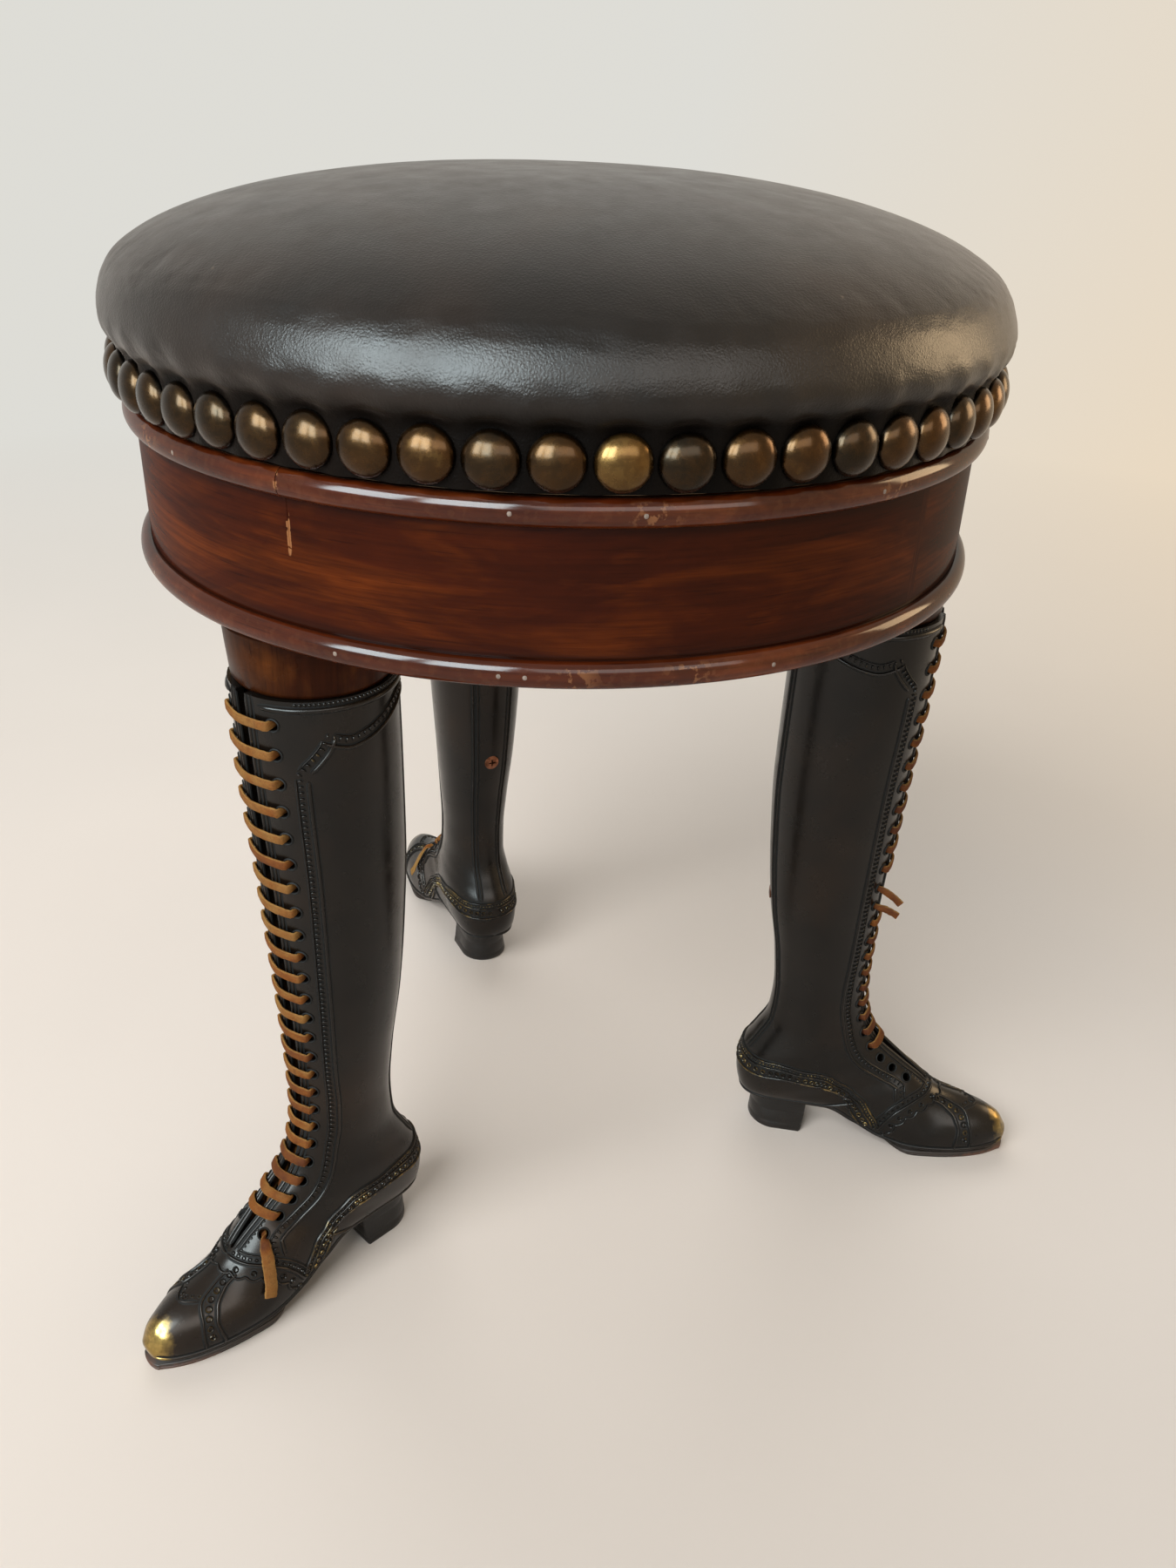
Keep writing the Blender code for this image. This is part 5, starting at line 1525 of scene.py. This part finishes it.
class StoolStageSettings(bpy.types.PropertyGroup):
    floor: colour_setting("Floor", "Colour of the floor", (0.84, 0.795, 0.755))
    backdrop: colour_setting("Backdrop", "Colour of the room far behind the stool", (0.73, 0.72, 0.675))
    warm: colour_setting("Warm side", "Colour of the room on the right", (0.86, 0.68, 0.47))
    level: FloatProperty(
        name="Room light", description="Strength of the light from all round", default=0.38, min=0.0
    )
    day: power_setting("Daylight", "Power of the soft light from the left", 37.0)
    sheet: power_setting("Sheet", "Power of the lit sheet behind the stool", 16.0)
    window: power_setting("Window", "Power of one window pane in polished surfaces", 26.0)
    wall: power_setting("Wall", "Power of the lit wall in polished surfaces", 9.0)
    glow: power_setting("Warm lamp", "Power of the warm lamp in polished surfaces", 8.0)


# Operators


class STOOL_OT_seat(bpy.types.Operator):
    """Make the stuffed leather seat"""

    bl_idname = "stool.seat"
    bl_label = "Seat"

    def execute(self, context):
        settings = context.scene.stool_seat
        mesh, rings = seat_mesh()
        look = leather_finish(settings)
        names = ("leather_cover", "seat_padding")
        piece = place("seat_cushion", mesh, look, Matrix.Translation(AXIS), names)
        kept = [i for i, (_, z) in enumerate(rings) if z < BOARD_TOP + 1 * MM]
        held = np.concatenate([np.arange(SEAT_SIDES) + i * SEAT_SIDES for i in kept])
        plump(piece, held, settings.swell)
        pucker(piece.data, settings.pucker, 3)
        return {"FINISHED"}


class STOOL_OT_nails(bpy.types.Operator):
    """Make the row of brass nail heads"""

    bl_idname = "stool.nails"
    bl_label = "Nails"

    def execute(self, context):
        settings = context.scene.stool_nails
        look = nail_finish(settings)
        place("nail_heads", nails_mesh(settings), look, None, ("nail_row",))
        return {"FINISHED"}


class STOOL_OT_drum(bpy.types.Operator):
    """Make the apron band and its two beads"""

    bl_idname = "stool.drum"
    bl_label = "Drum"

    def execute(self, context):
        wood = context.scene.stool_wood
        at = Matrix.Translation(AXIS)
        look = mahogany_finish("mahogany_apron", wood.band, wood.band_glow, 1.0, 0.0, 0.2)
        place("apron_band", band_mesh(), look, at, ("apron_hoop",))
        look = mahogany_finish("mahogany_moulding", wood.bead, wood.bead_glow, 1.6, 0.0, 0.6)
        upper = bead_mesh("bead_upper", "top_bead", JOINT, TOP_CHIPS)
        place("bead_upper", upper, look, at, ("top_bead",))
        lower = bead_mesh("bead_lower", "bottom_bead", LOW_JOINT, LOW_CHIPS)
        place("bead_lower", lower, look, at, ("bottom_bead",))
        pale = plain_wood_finish("pin_filler", (0.38, 0.31, 0.26), (300.0, 300.0, 300.0))
        place("bead_pins", pins_mesh(), pale)
        return {"FINISHED"}


class STOOL_OT_posts(bpy.types.Operator):
    """Make the three turned leg posts"""

    bl_idname = "stool.posts"
    bl_label = "Posts"

    def execute(self, context):
        wood = context.scene.stool_wood
        look = mahogany_finish("mahogany_turning", wood.post, wood.post_glow, 3.0, 0.06, 0.0)
        mesh = post_mesh()
        for leg, _ in LEGS:
            place(f"post_{leg}", mesh, look, leg_matrix(leg), (f"leg_post_{leg}",))
        return {"FINISHED"}


class STOOL_OT_boots(bpy.types.Operator):
    """Make the three cast boots and their screws"""

    bl_idname = "stool.boots"
    bl_label = "Boots"

    def execute(self, context):
        settings = context.scene.stool_boots
        look = patina_finish(settings)
        copper = screw_finish()
        casting, tooling, screw = casting_mesh(settings), tooling_mesh(settings), screw_mesh()
        for leg, _ in LEGS:
            at = leg_matrix(leg)
            place(f"boot_casting_{leg}", casting, look, at, (f"boot_{leg}",))
            place(f"boot_tooling_{leg}", tooling, look, at)
            place(f"screw_{leg}", screw, copper, at, (f"boot_screw_{leg}",))
        return {"FINISHED"}


class STOOL_OT_laces(bpy.types.Operator):
    """Lace the boots with leather thongs"""

    bl_idname = "stool.laces"
    bl_label = "Laces"

    def execute(self, context):
        settings = context.scene.stool_laces
        look = thong_finish(settings)
        low = EYELET_PAIRS - 2
        torn = EYELET_PAIRS // 2 - 1
        whole = lacing(0, low, -1) + lace_tail(low + 1, 1)
        upper = lacing(0, torn - 1, 1) + [lace_stop(torn - 0.5, 0.0, UNDER)] + lace_end(torn, -1, 0.35)
        lower = lace_end(torn + 1, -1, 0.0)[::-1] + [lace_stop(torn + 1.5, 0.0, UNDER)]
        lower += lacing(torn + 2, low - 2, -1)
        thongs = (
            ("front", "thong_front", whole, "lace_front", 21, 0.0),
            ("left", "thong_left", whole, "lace_left", 22, 0.0),
            ("right", "thong_right_upper", upper, "lace_right_upper", 23, 0.4),
            ("right", "thong_right_lower", lower, "lace_right_lower", 24, 0.4),
        )
        for leg, name, stops, node, seed, worn in thongs:
            mesh = thong_mesh(name, stops, settings, seed, worn)
            place(name, mesh, look, leg_matrix(leg), (node,))
        return {"FINISHED"}


class STOOL_OT_soles(bpy.types.Operator):
    """Make the half soles and heel blocks"""

    bl_idname = "stool.soles"
    bl_label = "Soles and heels"

    def execute(self, context):
        red, black = (0.17, 0.068, 0.034), (0.026, 0.017, 0.012)
        tread = hide_edge_finish("sole_leather_edge", red, black, 900.0, 0.55)
        red, black = (0.026, 0.016, 0.011), (0.009, 0.0075, 0.0065)
        lifts = hide_edge_finish("heel_leather_lifts", red, black, 420.0, 0.34)
        sole, heel = sole_mesh(), heel_mesh()
        for leg, _ in LEGS:
            at = leg_matrix(leg)
            place(f"sole_{leg}", sole, tread, at, (f"half_sole_{leg}",))
            place(f"heel_{leg}", heel, lifts, at, (f"heel_block_{leg}",))
        return {"FINISHED"}


class STOOL_OT_boards(bpy.types.Operator):
    """Give the hidden boards, dowels and wedges their woods"""

    bl_idname = "stool.boards"
    bl_label = "Boards"

    def execute(self, context):
        wood = context.scene.stool_wood
        base = plain_wood_finish("pine_base", tint(wood.board, 0.85), (9.0, 130.0, 60.0), 1.2)
        seat = plain_wood_finish("pine_seat", wood.board, (130.0, 9.0, 60.0), 1.2)
        beech = plain_wood_finish("beech_peg", (0.55, 0.40, 0.25), (500.0, 500.0, 60.0))
        oak = plain_wood_finish("oak_key", (0.42, 0.29, 0.16), (420.0, 420.0, 50.0))
        looks = {"base_board": base, "seat_board": seat}
        for leg, _ in LEGS:
            looks[f"seat_dowel_{leg}"] = beech
            looks[f"tenon_wedge_{leg}"] = oak
        for node, look in looks.items():
            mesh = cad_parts[node].data
            mesh.materials.clear()
            mesh.materials.append(look)
        return {"FINISHED"}


VIEW_TURN = math.radians(40.28)  # the view's right-hand direction round the stool
VIEW_BACK, VIEW_HEIGHT = 504.8 * MM, 459.0 * MM  # the camera's distance from the axis and the floor
VIEW_YAW, VIEW_PITCH, VIEW_ROLL = 0.03296, 0.50865, 0.03854
VIEW_FOCUS = 1448.5 / 1800.0  # focal length in picture heights
SENSOR = 36.0  # height of the camera's sensor in millimetres
LAMP_AIM = 0.3  # metres above the floor that the lamps point at
FLOOR_REACH = 60.0  # metres from the middle to each edge
FLOOR_FADE = (0.35, 1.5)  # metres from the stool's axis over which the floor takes the room's colour
WARM_SIDE = (0.1, 0.8)  # how far round to the right the room turns warm, as a cosine


def studio(right, back, up):
    """A place in the studio, seen from the camera's side of the stool, in metres from the stool's axis."""
    return AXIS + Matrix.Rotation(VIEW_TURN, 3, "Z") @ Vector((right, -back, up))


class STOOL_OT_stage(bpy.types.Operator):
    """Lay the floor, set the lights and the camera"""

    bl_idname = "stool.stage"
    bl_label = "Stage"

    def execute(self, context):
        settings = context.scene.stool_stage
        scene = context.scene
        scene.view_settings.view_transform = "Standard"
        self.floor(scene, settings)
        self.room(scene, settings)
        self.lights(scene, settings)
        self.camera(scene)
        return {"FINISHED"}

    def floor(self, scene, settings):
        """A pale floor that keeps the stool's shadow and runs into the room's colour further off."""
        heap = Heap()
        corners = np.array([(-1, -1, 0), (1, -1, 0), (1, 1, 0), (-1, 1, 0)]) * FLOOR_REACH
        heap.add(corners, [(0, 1, 2, 3)])
        make = Finish("studio_floor", 0.8, Specular_IOR_Level=0.15)
        cloud = make.noise(make.place(), 3.0, 3.0)
        pale = make.mix(make.span(cloud, 0.3, 0.7), tint(settings.floor, 0.98), tint(settings.floor, 1.02))
        make.to("Base Color", pale)
        spot = make.vector("SUBTRACT", make.place(), AXIS)["Vector"]
        away = make.vector("LENGTH", spot)["Value"]
        side = make.vector("DOT_PRODUCT", spot, studio(1, 0, 0) - AXIS)["Value"]
        turn = make.maths("DIVIDE", side, away)
        room = make.mix(make.span(turn, *WARM_SIDE), settings.backdrop, settings.warm)
        glow = make.node("Emission", Color=room, Strength=1.0)
        far = make.span(away, *FLOOR_FADE)
        blend = make.node("MixShader", Fac=make.maths("MULTIPLY", make.seen(), far))
        make.feed(blend.inputs[1], make.shader.outputs["BSDF"])
        make.feed(blend.inputs[2], glow.outputs["Emission"])
        make.feed(make.tree.nodes["Material Output"].inputs["Surface"], blend.outputs["Shader"])
        mesh = heap.mesh("studio_floor")
        mesh.materials.append(make.look)
        floor = bpy.data.objects.new("studio_floor", mesh)
        scene.collection.objects.link(floor)

    def room(self, scene, settings):
        """The room: an even light, and the pale colour that the view and polished surfaces meet."""
        world = bpy.data.worlds.new("studio_room")
        world.use_nodes = True
        make = Wiring(world.node_tree)
        around = make.node("TexCoord").outputs["Generated"]
        turn = make.vector("DOT_PRODUCT", around, studio(1, 0, 0) - AXIS)["Value"]
        back = make.tree.nodes["Background"].inputs
        colour = make.mix(make.span(turn, *WARM_SIDE), settings.backdrop, settings.warm)
        make.feed(back["Color"], colour)
        make.feed(back["Strength"], make.span(make.seen(), 0.0, 1.0, settings.level, 1.0))
        scene.world = world

    def lights(self, scene, settings):
        """Soft daylight and a lit sheet, and the window and the warm lamp that polished surfaces show."""
        cool, plain, warm = (0.80, 0.95, 1.0), (1.0, 0.97, 0.93), (1.0, 0.72, 0.42)
        rig = (
            ("daylight", studio(-1.0, 1.2, 1.6), settings.day, (1.6, 1.1), plain, "soft"),
            ("sheet", studio(-0.2, -1.35, 1.75), settings.sheet, (2.0, 1.1), plain, "soft"),
            ("pane_left", studio(-0.99, 0.95, 0.9), settings.window, (0.5, 0.75), cool, "gleam"),
            ("pane_right", studio(-0.5, 1.28, 0.9), settings.window, (0.5, 0.75), cool, "gleam"),
            ("wall", studio(0.5, 1.3, 0.95), settings.wall, (1.4, 0.6), plain, "gleam"),
            ("warm_lamp", studio(1.3, -0.2, 0.66), settings.glow, (0.5, 0.6), warm, "gleam"),
        )
        for name, spot, power, (wide, tall), colour, kind in rig:
            lamp = bpy.data.lights.new(name, "AREA")
            lamp.shape, lamp.size, lamp.size_y = "RECTANGLE", wide, tall
            lamp.energy, lamp.color = power, colour
            lit = bpy.data.objects.new(name, lamp)
            lit.location = spot
            lit.rotation_euler = (AXIS + Vector((0, 0, LAMP_AIM)) - spot).to_track_quat("-Z", "Y").to_euler()
            lit.visible_camera = False
            lit.visible_glossy = kind == "gleam"
            lit.visible_diffuse = kind == "soft"
            scene.collection.objects.link(lit)

    def camera(self, scene):
        """The photograph's view of the stool."""
        cos, sin = math.cos, math.sin
        ahead = Vector((sin(VIEW_YAW) * cos(VIEW_PITCH), cos(VIEW_YAW) * cos(VIEW_PITCH), -sin(VIEW_PITCH)))
        level = Vector((cos(VIEW_YAW), -sin(VIEW_YAW), 0))
        upright = level.cross(ahead)
        right = level * cos(VIEW_ROLL) + upright * sin(VIEW_ROLL)
        up = upright * cos(VIEW_ROLL) - level * sin(VIEW_ROLL)
        turn = Matrix((right, up, -ahead)).transposed().to_4x4()
        spot = Matrix.Translation(studio(0, VIEW_BACK, VIEW_HEIGHT))
        lens = bpy.data.cameras.new("view")
        lens.sensor_fit, lens.sensor_height = "VERTICAL", SENSOR
        lens.lens = VIEW_FOCUS * SENSOR
        lens.clip_start = 0.02
        eye = bpy.data.objects.new("view", lens)
        eye.matrix_world = spot @ Matrix.Rotation(VIEW_TURN, 4, "Z") @ turn
        scene.collection.objects.link(eye)
        scene.camera = eye


class STOOL_PT_panel(bpy.types.Panel):
    """Lists the stool's settings and the operators that make it"""

    bl_idname = "STOOL_PT_panel"
    bl_label = "Tripod stool"
    bl_space_type = "VIEW_3D"
    bl_region_type = "UI"
    bl_category = "Stool"

    def draw(self, context):
        layout = self.layout
        for name in SETTINGS:
            group = getattr(context.scene, name)
            column = layout.column(align=True)
            for setting in group.bl_rna.properties.keys():
                if setting not in ("rna_type", "name"):
                    column.prop(group, setting)
        for step in STEPS:
            layout.operator(step.bl_idname)


SETTINGS = {
    "stool_seat": StoolSeatSettings,
    "stool_nails": StoolNailSettings,
    "stool_wood": StoolWoodSettings,
    "stool_boots": StoolBootSettings,
    "stool_laces": StoolLaceSettings,
    "stool_stage": StoolStageSettings,
}
STEPS = (
    STOOL_OT_seat,
    STOOL_OT_nails,
    STOOL_OT_drum,
    STOOL_OT_posts,
    STOOL_OT_boots,
    STOOL_OT_laces,
    STOOL_OT_soles,
    STOOL_OT_boards,
    STOOL_OT_stage,
)


def register():
    for name, group in SETTINGS.items():
        bpy.utils.register_class(group)
        setattr(bpy.types.Scene, name, PointerProperty(type=group))
    for kind in (*STEPS, STOOL_PT_panel):
        bpy.utils.register_class(kind)


def unregister():
    for kind in (STOOL_PT_panel, *reversed(STEPS)):
        bpy.utils.unregister_class(kind)
    for name, group in reversed(SETTINGS.items()):
        delattr(bpy.types.Scene, name)
        bpy.utils.unregister_class(group)


def main():
    register()
    bpy.ops.stool.seat()
    bpy.ops.stool.nails()
    bpy.ops.stool.drum()
    bpy.ops.stool.posts()
    bpy.ops.stool.boots()
    bpy.ops.stool.laces()
    bpy.ops.stool.soles()
    bpy.ops.stool.boards()
    bpy.ops.stool.stage()


if __name__ == "__main__":
    main()
